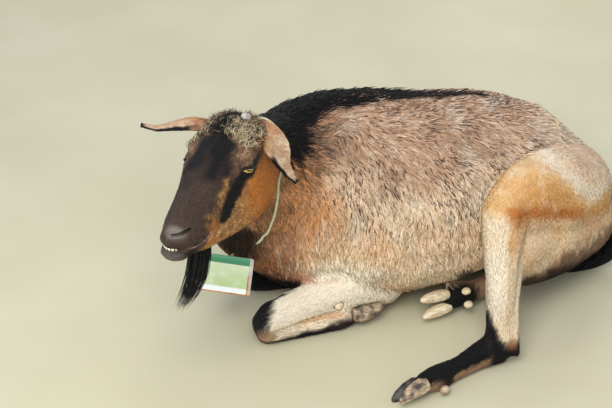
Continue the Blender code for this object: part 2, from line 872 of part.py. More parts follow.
def build():
    clear_scene()
    flesh = [*trunk_shapes(), *neck_shapes(), *head_shapes()]
    face = (head_frame() @ Vector((0.15, 0, -0.05)), 0.16)
    body = fuse("body", flesh, 0.005, 6, BODY_TRIANGLES, material("body_coat", BROWN), face)
    neck_cord(cord_path(body))
    name_card()
    front, trunk = split_by_disc(body, *NECK_BASE, ("front", "trunk"))
    head, neck = split_by_disc(front, *THROAT, ("head", "neck"))

    legs = [left_foreleg(), right_foreleg(), left_hind_leg(), right_hind_leg()]
    tail_piece = tail()
    make_room(legs[3], legs[2])
    make_room(tail_piece, legs[2])
    make_room(trunk, *legs, tail_piece)
    make_room(neck, *legs[:2])
    for name, frame in feet().items():
        claws = foot(name, frame, "b" if name == "fore_left" else "ab")
        leg = legs[list(feet()).index(name)]
        rest_on_floor(leg)
        make_room(leg, *claws)
        make_room(trunk, *claws)
        for piece in claws:
            rest_on_floor(piece)
    rest_on_floor(trunk)
    rest_on_floor(tail_piece)

    details = [left_ear(), right_ear(), eye(1, "eye_left"), eye(-1, "eye_right"), beard()]
    details.append(horn_stub("horn_left", (0.011, 0.020, 0.006), 0.0105, 0.0088))
    details.append(horn_stub("horn_right", (0.011, -0.026, 0.006), 0.0095, 0.0070))
    make_room(head, *details)
    make_room(neck, *details[:2])
    carve(head, mouth_line(), nostril(1), nostril(-1))
    make_room(head, lower_teeth())
    move_to_origin()


build()
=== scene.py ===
# %% [markdown]
# # A goat lying at rest
# A museum model of a goat is built in layers, as the animal is: a skin with lids, lips and nostrils,
# a coat of thousands of small tufts over it, and the hard pieces that show: eyes, teeth, horn and hooves.
# The solids made before this lesson give every size.

# %% Load the frame
import json
import math

import bmesh
import bpy
import numpy as np
from mathutils import Matrix, Vector
from mathutils.bvhtree import BVHTree

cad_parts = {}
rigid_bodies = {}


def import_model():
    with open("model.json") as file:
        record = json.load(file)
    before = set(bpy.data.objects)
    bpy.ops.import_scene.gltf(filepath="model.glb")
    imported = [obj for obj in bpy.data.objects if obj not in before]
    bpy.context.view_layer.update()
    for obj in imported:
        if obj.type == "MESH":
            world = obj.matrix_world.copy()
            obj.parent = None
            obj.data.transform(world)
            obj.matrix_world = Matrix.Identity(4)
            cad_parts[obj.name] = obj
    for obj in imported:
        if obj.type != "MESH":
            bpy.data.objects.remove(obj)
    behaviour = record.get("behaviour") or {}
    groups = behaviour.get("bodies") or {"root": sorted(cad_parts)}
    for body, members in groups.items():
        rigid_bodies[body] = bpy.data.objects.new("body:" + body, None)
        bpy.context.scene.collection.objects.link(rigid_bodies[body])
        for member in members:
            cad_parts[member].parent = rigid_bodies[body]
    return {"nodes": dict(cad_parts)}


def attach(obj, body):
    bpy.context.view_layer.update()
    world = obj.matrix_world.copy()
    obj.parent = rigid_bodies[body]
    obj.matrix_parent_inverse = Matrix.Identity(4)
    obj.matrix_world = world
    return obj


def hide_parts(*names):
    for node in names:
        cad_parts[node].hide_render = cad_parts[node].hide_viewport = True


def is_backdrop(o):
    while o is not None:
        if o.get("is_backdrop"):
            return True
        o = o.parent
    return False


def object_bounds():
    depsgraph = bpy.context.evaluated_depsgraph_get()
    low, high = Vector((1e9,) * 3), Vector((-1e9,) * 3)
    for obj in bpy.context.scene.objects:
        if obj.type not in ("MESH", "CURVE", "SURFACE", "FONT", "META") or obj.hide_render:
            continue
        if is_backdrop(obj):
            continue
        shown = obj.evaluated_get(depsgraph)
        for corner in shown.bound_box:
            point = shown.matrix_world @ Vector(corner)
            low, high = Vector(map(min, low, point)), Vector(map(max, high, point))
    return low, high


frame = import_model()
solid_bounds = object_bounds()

low, high = (np.array(corner) for corner in solid_bounds)
print("solids:", len(frame["nodes"]), "size", np.round(high - low, 3))

# %% [markdown]
# ## Camera, floor and light
# The camera stands 3.3 m away on the goat's left, turned 12 degrees towards its front, and looks down at
# 30 degrees. A long lens keeps the shape free of strong perspective. The goat sits right of the middle,
# so that its rump leaves the frame, and the camera is simply slid sideways for that.

# %% Camera
DOWN, ROUND = math.radians(30), math.radians(-12)
DISTANCE, SLIDE, LIFT = 3.3, -0.1617, 0.0189
MIDDLE = (0.005, 0.0355, 0)  # where the goat lies on the floor; the routes of ears and cord start there
back = Vector((math.sin(ROUND) * math.cos(DOWN), -math.cos(ROUND) * math.cos(DOWN), math.sin(DOWN)))
right = Vector((math.cos(ROUND), math.sin(ROUND), 0))
up = back.cross(right)
lens = bpy.data.cameras.new("camera")
lens.sensor_width, lens.lens = 36, 112.86
camera = bpy.data.objects.new("camera", lens)
bpy.context.scene.collection.objects.link(camera)
camera.matrix_world = Matrix((right, up, back)).transposed().to_4x4()
camera.location = Vector((*MIDDLE[:2], 0.17)) + back * DISTANCE + right * SLIDE + up * LIFT
bpy.context.scene.camera = camera
bpy.context.scene.view_settings.view_transform = "Standard"
print("camera at", tuple(round(v, 2) for v in camera.location))

# %% [markdown]
# The floor is one broad pale disc. Soft light comes from a big lamp above the goat's left shoulder and
# a weaker one before its head. A third one behind it draws a light edge, and a pale sky fills the shade.


# %% Floor and lights
def add_object(name, mesh, *materials):
    made = bpy.data.objects.new(name, mesh)
    bpy.context.scene.collection.objects.link(made)
    for finish in materials:
        mesh.materials.append(finish)
    return made


def mesh_from(name, bm):
    mesh = bpy.data.meshes.new(name)
    bm.to_mesh(mesh)
    bm.free()
    return mesh


def shade_smooth(mesh):
    mesh.polygons.foreach_set("use_smooth", [True] * len(mesh.polygons))


def add_lamp(name, place, aim, size, watts, colour):
    light = bpy.data.lights.new(name, "AREA")
    light.size, light.energy, light.color = size, watts, colour
    lamp = bpy.data.objects.new(name, light)
    bpy.context.scene.collection.objects.link(lamp)
    way = Vector(place) - Vector(aim)
    lamp.matrix_world = Matrix.Translation(place) @ way.to_track_quat("Z", "Y").to_matrix().to_4x4()


floor_shape = bmesh.new()
bmesh.ops.create_circle(floor_shape, cap_ends=True, segments=96, radius=9)
floor = add_object("floor", mesh_from("floor", floor_shape))
floor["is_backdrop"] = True
add_lamp("key", (-0.9, -2.1, 2.3), (0, 0, 0.15), 1.7, 88, (1.0, 0.965, 0.91))
add_lamp("head_side", (-2.6, -0.6, 1.2), (-0.2, 0, 0.3), 1.4, 18, (0.95, 0.97, 1.0))
add_lamp("rim", (1.2, 2.2, 1.9), (0, 0, 0.2), 1.2, 24, (1.0, 0.98, 0.95))
sky = bpy.data.worlds.new("sky")
sky.use_nodes = True
glow = sky.node_tree.nodes["Background"].inputs
glow["Color"].default_value, glow["Strength"].default_value = (0.86, 0.9, 1.0, 1), 0.72
bpy.context.scene.world = sky

# %% [markdown]
# ## Shader maths
# Materials here are written as sums and products. A small class wraps an output socket, so that
# `1 - mask` or `noise * 0.3` adds the Math node that does it, and one method adds any other node.


# %% Sockets that can be added and multiplied
class Value:
    """A node's output, which Python's own operators turn into more nodes."""

    def __init__(self, tree, socket):
        self.tree = tree
        self.socket = socket

    def maths(self, operation, *others):
        inputs = {0: self, **{i + 1: other for i, other in enumerate(others)}}
        return self.tree.node("ShaderNodeMath", {"operation": operation}, inputs)

    def __add__(self, other):
        return self.maths("ADD", other)

    def __mul__(self, other):
        return self.maths("MULTIPLY", other)

    def __sub__(self, other):
        return self.maths("SUBTRACT", other)

    def __rsub__(self, other):
        return self.tree.node("ShaderNodeMath", {"operation": "SUBTRACT"}, {0: other, 1: self})

    __radd__ = __add__
    __rmul__ = __mul__

    def step(self, low, high):
        """0 below low and 1 above high, with a smooth rise between."""
        settings = {"interpolation_type": "SMOOTHSTEP"}
        inputs = {"Value": self, "From Min": low, "From Max": high}
        return self.tree.node("ShaderNodeMapRange", settings, inputs)


class Finish:
    """A material under construction, with a Principled shader at its end."""

    def __init__(self, name, **constants):
        self.material = bpy.data.materials.new(name)
        self.material.use_nodes = True
        self.nodes = self.material.node_tree.nodes
        self.links = self.material.node_tree.links
        self.shader = self.nodes["Principled BSDF"]
        self.set_shader(constants)

    def set_shader(self, inputs):
        """Sets the Principled shader's inputs by their names in small letters."""
        for key, value in inputs.items():
            self.set(self.shader, {key.replace("_", " ").title().replace("Ior", "IOR"): value})

    def set(self, node, inputs):
        for key, value in inputs.items():
            if isinstance(value, Value):
                self.links.new(value.socket, node.inputs[key])
            elif isinstance(value, tuple) and len(value) == 3 and node.inputs[key].type == "RGBA":
                node.inputs[key].default_value = (*value, 1)
            else:
                node.inputs[key].default_value = value

    def node(self, kind, settings=None, inputs=None, output=0):
        made = self.nodes.new(kind)
        for key, value in (settings or {}).items():
            setattr(made, key, value)
        self.set(made, inputs or {})
        return Value(self, made.outputs[output])

    def place(self):
        return self.node("ShaderNodeTexCoord", output="Object")

    def stretched(self, scale):
        return self.node("ShaderNodeMapping", None, {"Vector": self.place(), "Scale": scale})

    def split(self, vector):
        """The three parts of a vector."""
        made = self.node("ShaderNodeSeparateXYZ", None, {"Vector": vector}).socket.node
        return [Value(self, part) for part in made.outputs]

    def noise(self, scale, detail=3.0, vector=None):
        where = vector or self.place()
        return self.node("ShaderNodeTexNoise", None, {"Vector": where, "Scale": scale, "Detail": detail})

    def wave(self, direction, scale, distortion):
        inputs = {"Vector": self.place(), "Scale": scale, "Distortion": distortion, "Detail": 2.0}
        return self.node("ShaderNodeTexWave", {"bands_direction": direction}, inputs)

    def mix(self, amount, first, second, blend="MIX"):
        inputs = {0: amount, 6: first, 7: second}
        return self.node("ShaderNodeMix", {"data_type": "RGBA", "blend_type": blend}, inputs, 2)

    def attribute(self, name, output="Color"):
        return self.node("ShaderNodeAttribute", {"attribute_name": name}, None, output)

    def bump(self, height, distance, strength=1.0):
        inputs = {"Height": height, "Distance": distance, "Strength": strength}
        return self.node("ShaderNodeBump", None, inputs)

    def finish(self, **inputs):
        self.set_shader(inputs)
        return self.material


paint = Finish("pale_floor", roughness=0.8)
mottle = paint.noise(3.0).step(0.3, 0.8)
pale = paint.mix(mottle, (0.5, 0.475, 0.325), (0.55, 0.53, 0.38))
floor.data.materials.append(paint.finish(base_color=pale))
print("floor finish:", len(paint.nodes), "nodes")

# %% [markdown]
# ## Measures in the coat
# Hair, colours and folds all vary over the body, so they are worked out as fields: functions that take an
# array of points and give a value for each. A few small tools are enough: a smooth step, a soft random
# field with lumps of a chosen size, flecks cut out of that field, and the distance to a line.


# %% Field tools
def smooth(value, low, high):
    t = np.clip((value - low) / (high - low), 0, 1)
    return t * t * (3 - 2 * t)


def soft_noise(points, size, seed=0):
    """Values from 0 to 1 that vary smoothly over about that many metres."""
    cell = points / size + 50.0 + seed * 7.31
    corner = np.floor(cell).astype(np.int64)
    part = cell - corner
    part = part * part * (3 - 2 * part)
    total = np.zeros(len(points))
    for dx in (0, 1):
        for dy in (0, 1):
            for dz in (0, 1):
                x, y, z = corner[:, 0] + dx, corner[:, 1] + dy, corner[:, 2] + dz
                mixed = (x * 73856093) ^ (y * 19349663) ^ (z * 83492791) ^ (seed * 2654435)
                mixed = (mixed ^ (mixed >> 13)) * 1274126177
                dice = ((mixed ^ (mixed >> 16)) & 0xFFFFF) / 0xFFFFF
                share = abs(1 - dx - part[:, 0]) * abs(1 - dy - part[:, 1]) * abs(1 - dz - part[:, 2])
                total += dice * share
    return total


def flecks(points, size, seed, low, high):
    """Patches of about that size: 0 where the soft noise is below low and 1 where it is above high."""
    return smooth(soft_noise(points, size, seed), low, high)


def line_distance(points, start, end):
    """How far each point is from a line piece, and how far along it the nearest place is, from 0 to 1."""
    start, way = np.array(start), np.array(end) - np.array(start)
    along = np.clip((points - start) @ way / (way @ way), 0, 1)
    return np.linalg.norm(points - start - along[:, None] * way, axis=1), along


def polyline_distance(points, line):
    return np.min([line_distance(points, a, b)[0] for a, b in zip(line, line[1:])], axis=0)


def unit(vectors):
    return vectors / np.maximum(np.linalg.norm(vectors, axis=-1, keepdims=True), 1e-9)


def linear(red, green, blue):
    """A screen colour from 0 to 255 as the linear light that shaders use."""
    parts = (red, green, blue)
    return np.array([c / 255 / 12.92 if c < 10 else ((c / 255 + 0.055) / 1.055) ** 2.4 for c in parts])


# The head's own axes: the origin is the poll, +X runs down the face and +Y to the left ear.
POLL = Vector((-0.292, -0.0695, 0.452))
TURN, NOD, ROLL = math.pi + math.radians(57), math.radians(11), math.radians(4)
head_turn = Matrix.Rotation(TURN, 4, "Z") @ Matrix.Rotation(NOD, 4, "Y")
head_place = Matrix.Translation(POLL) @ head_turn @ Matrix.Rotation(ROLL, 4, "X")
head_axes = np.array(head_place)[:3, :3]


def in_head(points):
    return (points - np.array(POLL)) @ head_axes


def from_head(points):
    return np.asarray(points) @ head_axes.T + np.array(POLL)


print("nose at", np.round(from_head([[0.262, 0, -0.05]])[0], 3))

# %% [markdown]
# ## The skin
# A living goat has one skin without seams. The solids of flesh are joined, swollen by a millimetre so
# that the thin cuts between them close, and remeshed into a single surface. It is then drawn inwards by
# the depth of the hair, because the solids already reach the tips of the coat.

# %% Join the solids of flesh
FLESH = ["head", "neck", "trunk", "tail", "foreleg_left", "foreleg_right", "hind_leg_left", "hind_leg_right"]
SWELL, EAR_SWELL = 0.0011, 0.0002
BODY_VOXEL, EAR_VOXEL = 0.0036, 0.0016


def merged(names, swell=0.0):
    """One bmesh of copies of the named solids, with shared corners, grown outwards by swell."""
    together = bmesh.new()
    for name in names:
        copy = bmesh.new()
        copy.from_mesh(frame["nodes"][name].data)
        bmesh.ops.remove_doubles(copy, verts=copy.verts, dist=2e-6)
        copy.normal_update()
        for vert in copy.verts:
            vert.co += vert.normal * swell
        mesh = mesh_from("copy", copy)
        together.from_mesh(mesh)
        bpy.data.meshes.remove(mesh)
    return together


def remeshed(name, bm, voxel, passes):
    """A new object with an even surface over a bmesh, rounded by a few smoothing passes."""
    made = add_object(name, mesh_from(name, bm))
    fuse = made.modifiers.new("fuse", "REMESH")
    fuse.mode, fuse.voxel_size = "VOXEL", voxel
    soften = made.modifiers.new("soften", "SMOOTH")
    soften.factor, soften.iterations = 0.5, passes
    return applied(made)


def applied(made):
    """The object with its modifiers worked into its mesh."""
    bpy.context.view_layer.update()
    graph = bpy.context.evaluated_depsgraph_get()
    mesh = bpy.data.meshes.new_from_object(made.evaluated_get(graph))
    made.modifiers.clear()
    made.data = mesh
    return made


# The eyeballs go in as well, so that the sockets are covered and the lids can be cut into them.
body = remeshed("body", merged([*FLESH, "eye_left", "eye_right"], SWELL), BODY_VOXEL, 5)
ears = [remeshed(name, merged([name], EAR_SWELL), EAR_VOXEL, 6) for name in ("ear_left", "ear_right")]
print("body faces", len(body.data.polygons), "ear faces", [len(e.data.polygons) for e in ears])

# %% [markdown]
# Which part of the body a point belongs to decides its hair and colour. Each point takes the name of the
# nearest solid, from one search tree over them all.

# %% Regions
region_names = [*FLESH, "ear_left", "ear_right"]
triangles, owner = [], []
corners = []
for index, name in enumerate(region_names):
    mesh = frame["nodes"][name].data
    start = len(corners)
    corners += [v.co.copy() for v in mesh.vertices]
    for face in mesh.polygons:
        triangles.append([start + i for i in face.vertices])
        owner.append(index)
solid_tree = BVHTree.FromPolygons(corners, triangles)
owner = np.array(owner)


def region_of(points):
    return np.array([owner[solid_tree.find_nearest(Vector(p))[2]] for p in points])


def mesh_points(mesh):
    points = np.zeros(len(mesh.vertices) * 3)
    mesh.vertices.foreach_get("co", points)
    return points.reshape(-1, 3)


def mesh_normals(mesh):
    normals = np.zeros(len(mesh.vertices) * 3)
    mesh.vertex_normals.foreach_get("vector", normals)
    return normals.reshape(-1, 3)


def set_points(mesh, points):
    mesh.vertices.foreach_set("co", points.ravel())
    mesh.update()


HEAD, NECK, TRUNK, TAIL, FORE_LEFT, FORE_RIGHT, HIND_LEFT, HIND_RIGHT, *EARS = range(len(region_names))
LEGS = (FORE_LEFT, FORE_RIGHT, HIND_LEFT, HIND_RIGHT)
ON_FLOOR = 0.0004  # nothing but the claws comes nearer to the floor than this


def coat_depth(points, region):
    """How deep the hair is, in metres: long on the back and neck, thin on face, shins and feet."""
    depth = np.full(len(points), 0.003)
    depth[region == NECK] = 0.0036
    depth[region == TAIL] = 0.0045
    legs = np.isin(region, LEGS)
    depth[legs] = 0.0016 + 0.0014 * smooth(points[legs, 2], 0.1, 0.24)
    head = region == HEAD
    place = in_head(points[head])
    crown = smooth(-place[:, 0], -0.1, -0.03) * smooth(place[:, 2], -0.06, -0.01)
    depth[head] = 0.0009 + 0.0026 * crown + 0.0022 * smooth(-place[:, 0], -0.05, 0.02)
    depth[np.isin(region, EARS)] = 0.0006
    return depth


def above_solid(points):
    """How far each point is outside the nearest solid, negative inside it."""
    found = [solid_tree.find_nearest(Vector(p)) for p in points]
    return np.array([(Vector(p) - f[0]).dot(f[1]) for p, f in zip(points, found)])


def spread_out(mesh, values, passes):
    """Values on the mesh's points, each averaged with its neighbours a few times."""
    ends = np.zeros(len(mesh.edges) * 2, dtype=np.int64)
    mesh.edges.foreach_get("vertices", ends)
    a, b = ends.reshape(-1, 2).T
    count = np.bincount(a, minlength=len(values)) + np.bincount(b, minlength=len(values)) + 1
    for _ in range(passes):
        total = values + np.bincount(a, values[b], len(values)) + np.bincount(b, values[a], len(values))
        values = total / count
    return values


LARGEST_MOVE = 0.006


def draw_in(made):
    """Moves the surface to its depth under the solids' faces, which also undoes the smoothing's wear."""
    points = mesh_points(made.data)
    region = region_of(points)
    depth = spread_out(made.data, coat_depth(points, region), 6)
    for passes in (5, 3):
        points = mesh_points(made.data)
        error = np.clip(above_solid(points) + depth, -LARGEST_MOVE, LARGEST_MOVE)
        points = points - mesh_normals(made.data) * spread_out(made.data, error, passes)[:, None]
        points[:, 2] = np.maximum(points[:, 2], ON_FLOOR)
        set_points(made.data, points)
    return region


region = draw_in(body)
for piece in ears:
    draw_in(piece)
print("regions on the skin:", {region_names[i]: int((region == i).sum()) for i in set(region)})

# %% [markdown]
# ## Lids, nostrils and lips
# The face needs finer triangles than the trunk, so edges near the eyes and the muzzle are halved a few
# times. The places of the eyes, the nostrils and the mouth are written in the head's own axes.

# %% Refine the face
EYE = np.array((0.091, 0.0428, -0.033))  # middle of the left eyeball
GAZE = np.array((0.5, 0.84, 0.16)) / 0.99  # the way it looks: outwards and forwards
BALL = 0.0148  # the eyeball's radius


def eye_axes(side):
    """The ways from an eye's middle to its pupil, to its inner corner and over to its upper lid."""
    gaze = unit(GAZE * (1, side, 1))
    along = np.array((0.8, -0.52 * side, 0.38))
    along = unit(along - gaze * (gaze @ along))
    return gaze, along, np.cross(gaze, along) * side


# The goat is caught chewing, with its lips pushed over, so the nostrils lie a little to its right.
NOSTRILS = {
    1: np.array(((0.26, -0.006, -0.038), (0.258, 0.006, -0.0355), (0.249, 0.0185, -0.031))),
    -1: np.array(((0.259, -0.015, -0.038), (0.256, -0.022, -0.035), (0.246, -0.029, -0.029))),
}
MOUTH = np.array((
    (0.206, 0.038, -0.066), (0.222, 0.034, -0.068), (0.238, 0.026, -0.069),
    (0.258, 0.01, -0.067), (0.269, -0.012, -0.065), (0.259, -0.031, -0.065),
    (0.234, -0.04, -0.066), (0.206, -0.041, -0.072), (0.19, -0.041, -0.077),
))


def refined(made, zones):
    """Halves the edges inside each zone, which is a place in head axes, a reach and how often."""
    bm = bmesh.new()
    bm.from_mesh(made.data)
    for times in range(3):
        near = set()
        for place, reach, often in zones:
            if times < often:
                middle = Vector(from_head([place])[0])
                near |= {e for e in bm.edges if (e.verts[0].co - middle).length < reach}
        bmesh.ops.subdivide_edges(bm, edges=list(near), cuts=1, use_grid_fill=True)
    bmesh.ops.triangulate(bm, faces=bm.faces[:])
    bm.to_mesh(made.data)
    bm.free()


SIDES = (1, -1)
zones = [(EYE * (1, s, 1), 0.034, 1) for s in SIDES] + [(EYE * (1, s, 1), 0.023, 3) for s in SIDES]
zones += [((0.245, -0.01, -0.062), 0.05, 1), ((0.254, -0.01, -0.052), 0.034, 2)]
zones += [((0.205, s * 0.035, -0.074), 0.022, 2) for s in SIDES]
refined(body, zones)
print("skin of the body:", len(body.data.polygons), "triangles")

# %% [markdown]
# The features are pressed into the skin by moving its points along simple rules, as a sculptor would
# with thumb and wire: lids wrap a ball, nostrils are slanting slits, and the mouth is a groove.


# %% Press in the features
SLOT_LONG, SLOT_UP, SLOT_DOWN = 0.0112, 0.0027, 0.0025  # half the opening's length and its two heights
LID_THICK = 0.0015
LID_ENDS, LID_WHOLE = 84, 56  # degrees from the pupil where the lid's skin ends and where it is full


def press_eye(place, side):
    """Wraps the skin round the eyeball and opens an almond slot in it."""
    middle = EYE * (1, side, 1)
    gaze, along, over = eye_axes(side)
    offset = place - middle
    reach = np.linalg.norm(offset, axis=1)
    way = offset / reach[:, None]
    turned = np.degrees(np.arccos(np.clip(way @ gaze, -1, 1)))
    lid = smooth(-turned, -LID_ENDS, -LID_WHOLE) * (reach < BALL + 0.014)
    u, v = way @ along * BALL, way @ over * BALL
    half = np.clip(1 - (u / SLOT_LONG) ** 2, 0, 1) * np.where(v > 0, SLOT_UP, SLOT_DOWN)
    edge = np.abs(v) - half
    target = BALL + LID_THICK + 0.0011 * np.exp(-(((edge - 0.0012) / 0.0012) ** 2)) * (np.abs(u) < 0.0135)
    target += 0.0016 * smooth(v, 0.002, 0.007) * smooth(-v, -0.016, -0.009)
    target -= 0.0013 * np.exp(-(((v - 0.0068 + 16 * u * u) / 0.0011) ** 2)) * (np.abs(u) < 0.013)
    target -= 0.0009 * np.exp(-(((v + 0.0066 - 14 * u * u) / 0.0011) ** 2)) * (np.abs(u) < 0.012)
    inside = (edge < 0) & (np.abs(u) < SLOT_LONG)
    target = np.where(inside, BALL - 0.0036, target)
    lid = np.where(inside & (turned < 80), 1.0, lid)
    return place + way * ((target - reach) * lid)[:, None]


def bulge(place, out, distance, reach, height):
    """Moves points outwards by up to that height, or inwards if it is negative, near a form's middle."""
    return place + out * (height * smooth(-distance, -reach, -0.002))[:, None]


def press_face(points, region, normals):
    """Presses brows, hollows, cheeks, eyes, nostrils and mouth into the points of the head."""
    face = np.flatnonzero(region == HEAD)
    place = in_head(points[face])
    out = normals[face] @ head_axes
    for side in SIDES:
        mirror = place * (1, side, 1)
        brow = np.linalg.norm((mirror - (0.086, 0.048, -0.01)) / (1.3, 1, 0.8), axis=1)
        place = bulge(place, out, brow, 0.016, 0.0024)
        hollow = np.linalg.norm((mirror - (0.135, 0.046, -0.04)) / (1.8, 1, 0.7), axis=1)
        place = bulge(place, out, hollow, 0.014, -0.0016)
        cheek = line_distance(mirror, (0.12, 0.05, -0.058), (0.19, 0.034, -0.072))[0]
        place = bulge(place, out, cheek, 0.012, 0.0016)
        place = press_eye(place, side)
        slit = polyline_distance(place, NOSTRILS[side])
        inwards = np.array((-0.88, -0.25 * side, -0.12))
        place = place + inwards * (0.0085 * smooth(-slit, -0.003, -0.0008))[:, None]
        place = place + out * (0.0011 * np.exp(-(((slit - 0.0048) / 0.0018) ** 2)))[:, None]
    lips = polyline_distance(place, MOUTH)
    place = place - out * (0.0032 * np.exp(-((lips / 0.0013) ** 2)))[:, None]
    place = place + out * (0.0009 * np.exp(-(((lips - 0.004) / 0.0016) ** 2)))[:, None]
    points[face] = from_head(place)
    return points


region = region_of(mesh_points(body.data))
set_points(body.data, press_face(mesh_points(body.data), region, mesh_normals(body.data)))
print("face points:", int((region == HEAD).sum()))

# %% [markdown]
# ## One skin
# The ears are remeshed more finely than the body because they are thin. Their roots run on into the
# head, so they simply join it in one object, which stands for every solid of flesh.

# %% Join the skin
joined = bmesh.new()
for piece in (body, *ears):
    joined.from_mesh(piece.data)
    bpy.data.objects.remove(piece)
bmesh.ops.triangulate(joined, faces=joined.faces[:])
skin = add_object("skin", mesh_from("skin", joined))
shade_smooth(skin.data)
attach(skin, "root")
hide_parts(*region_names)
skin_points, skin_normals = mesh_points(skin.data), mesh_normals(skin.data)
skin_region = region_of(skin_points)
print("skin:", len(skin.data.polygons), "triangles")

# %% [markdown]
# ## Markings
# This goat is black along the back, fawn on the flanks and cream on the legs, with a black face between
# tan cheeks. One function gives the colour for any point, so that skin and hair always agree. Each patch
# is laid over the last with a soft edge, broken up by noise as hair breaks a real one.

# %% Colours of the coat
FAWN, MAUVE, ORANGE = linear(242, 217, 187), linear(186, 146, 117), linear(221, 155, 86)
CREAM, IVORY, TAN = linear(246, 229, 201), linear(250, 242, 224), linear(237, 194, 134)
RUST, BLACK, DARK_BROWN = linear(196, 116, 46), linear(9, 9, 11), linear(58, 40, 31)
NECK_BROWN, CHEST, CHEEK = linear(242, 182, 134), linear(146, 90, 53), linear(216, 138, 56)
FACE, MUZZLE, LIP = linear(10, 11, 14), linear(78, 62, 52), linear(190, 150, 132)
TICK_BROWN, TICK_LOCK, STRAW = linear(112, 80, 66), linear(112, 82, 66), linear(196, 146, 84)
TICKED, EAR_PINK, GREY = linear(168, 134, 102), linear(202, 168, 136), linear(150, 142, 138)
CREAM_LOCK, BROWN_LOCK = linear(236, 216, 176), linear(172, 146, 116)


class Paint:
    """Colours for many points, laid on patch by patch."""

    def __init__(self, points, shade):
        self.colour = np.ones((len(points), 1)) * shade

    def lay(self, shade, amount):
        amount = np.clip(amount, 0, 1)[:, None]
        self.colour = self.colour * (1 - amount) + shade * amount


def spot(points, place, radii, soft=0.5):
    """1 inside an egg of those radii and 0 well outside it."""
    away = np.linalg.norm((points - place) / radii, axis=1)
    return smooth(-away, -1 - soft, -1 + soft)


print("darkest and lightest colour:", BLACK.round(4), IVORY.round(2))

# %% [markdown]
# The trunk is the ground for every other patch. A black band runs down the spine and narrows from the
# withers to the rump. Below it come mauve, fawn and ivory flecks, then the tan belly. The neck is warmer,
# with dark streaks, and goes black on the nape. Its dark throat is partly dark hair and partly painted
# shade under the jaw, and the black under the chest and in a hollow of the belly is painted shade.

# %% Trunk and neck
# Half the width of the black band on the back, along x.
BAND_X = (-0.3, -0.19, -0.165, -0.136, -0.114, -0.02, 0.09, 0.16, 0.2, 0.4)
BAND_HALF = (0.15, 0.13, 0.092, 0.06, 0.05, 0.033, 0.018, 0.008, -0.004, -0.02)
SPINE_Y, MIRROR_Y = 0.116, 0.105  # the spine's y for the band, and the plane that mirrors the flanks


def black_band(x, y, ragged):
    """1 in the black band along the spine."""
    return smooth(np.interp(x, BAND_X, BAND_HALF) - np.abs(y - SPINE_Y) + ragged * 0.014, -0.004, 0.006)


def trunk_colours(points, ragged):
    """The trunk: fawn, mauve above, ivory and tan below, with a black back, and painted shade under the chest
    and belly.
    """
    coat = Paint(points, FAWN)
    lay = coat.lay
    x, y, z = points.T
    side = np.abs(y - MIRROR_Y)
    lay(MAUVE, 0.78 * smooth(z + 0.1 * (soft_noise(points, 0.045, 5) - 0.5), 0.25, 0.325))
    lay(TAN, 0.3 * flecks(points, 0.06, 45, 0.5, 0.75) * smooth(-z, -0.25, -0.18))
    lay(IVORY, 0.35 * flecks(points, 0.03, 6, 0.55, 0.8) * smooth(z, 0.16, 0.22))
    lay(NECK_BROWN, 0.6 * smooth(-x, 0.135, 0.185))
    mirrored = np.stack([x, side, z], axis=1)
    lay(ORANGE, 0.85 * spot(mirrored, (-0.15, 0.155, 0.225), (0.04, 0.06, 0.05), 0.6))
    lay(ORANGE, 0.4 * spot(mirrored, (-0.055, 0.16, 0.18), (0.022, 0.06, 0.026), 0.6))
    lay(TAN, 0.35 * smooth(-z, -0.2, -0.13) * smooth(-x, -0.02, 0.03))
    lay(IVORY, 0.75 * spot(mirrored, (-0.11, 0.15, 0.105), (0.08, 0.08, 0.034), 0.6))
    lay(CHEST, 0.9 * smooth(-x, 0.155, 0.215) * smooth(-z, -0.3, -0.12))
    # The rust at the elbow is partly rust hair and partly painted shade where the forearm meets the chest.
    lay(RUST, 0.5 * spot(mirrored, (-0.165, 0.14, 0.098), (0.045, 0.08, 0.012), 0.7))
    lay(MAUVE, 0.7 * smooth(-z, -0.09, -0.055) * smooth(x, -0.09, -0.02))
    lay(CREAM, 0.5 * smooth(x, 0.27, 0.32) * smooth(z, 0.1, 0.16))
    # Dark brown low at the rear, under the thigh, is partly dark hair and partly painted shade.
    lay(DARK_BROWN, 0.9 * smooth(-z, -0.105, -0.08) * smooth(x, 0.16, 0.2))
    drawn = points * (1, 1, 0.35)
    ticks = flecks(drawn, 0.0042, 31, 0.64, 0.78) * flecks(points, 0.045, 32, 0.3, 0.55)
    lay(TICK_BROWN, 0.45 * ticks * smooth(z, 0.13, 0.2))
    streaks = flecks(drawn, 0.008, 34, 0.42, 0.6)
    lay(DARK_BROWN, 0.55 * streaks * smooth(-x, 0.105, 0.15) * smooth(z, 0.3, 0.33))
    lay(IVORY, 0.4 * flecks(drawn, 0.005, 33, 0.58, 0.78))
    # The tan line along the edge of the belly's fold is a painted highlight on that edge, and the black spot
    # under it is painted shade in the hollow between the belly and the far hind leg.
    fold = polyline_distance(points, ((0.035, -0.066, 0.092), (0.075, -0.073, 0.107), (0.108, -0.068, 0.112)))
    lay(TAN, 0.8 * smooth(-fold, -0.0065, -0.003))
    lay(BLACK, spot(points, (0.097, -0.06, 0.097), (0.018, 0.03, 0.01), 0.4))
    lay(BLACK, black_band(x, y, ragged) * smooth(z, 0.2, 0.25))
    # Black along the underside of the chest is painted shade under the brisket.
    lay(BLACK, smooth(-z - 0.25 * (x + 0.2) + ragged * 0.014, -0.094, -0.082) * smooth(-x, 0.15, 0.185))
    return coat.colour


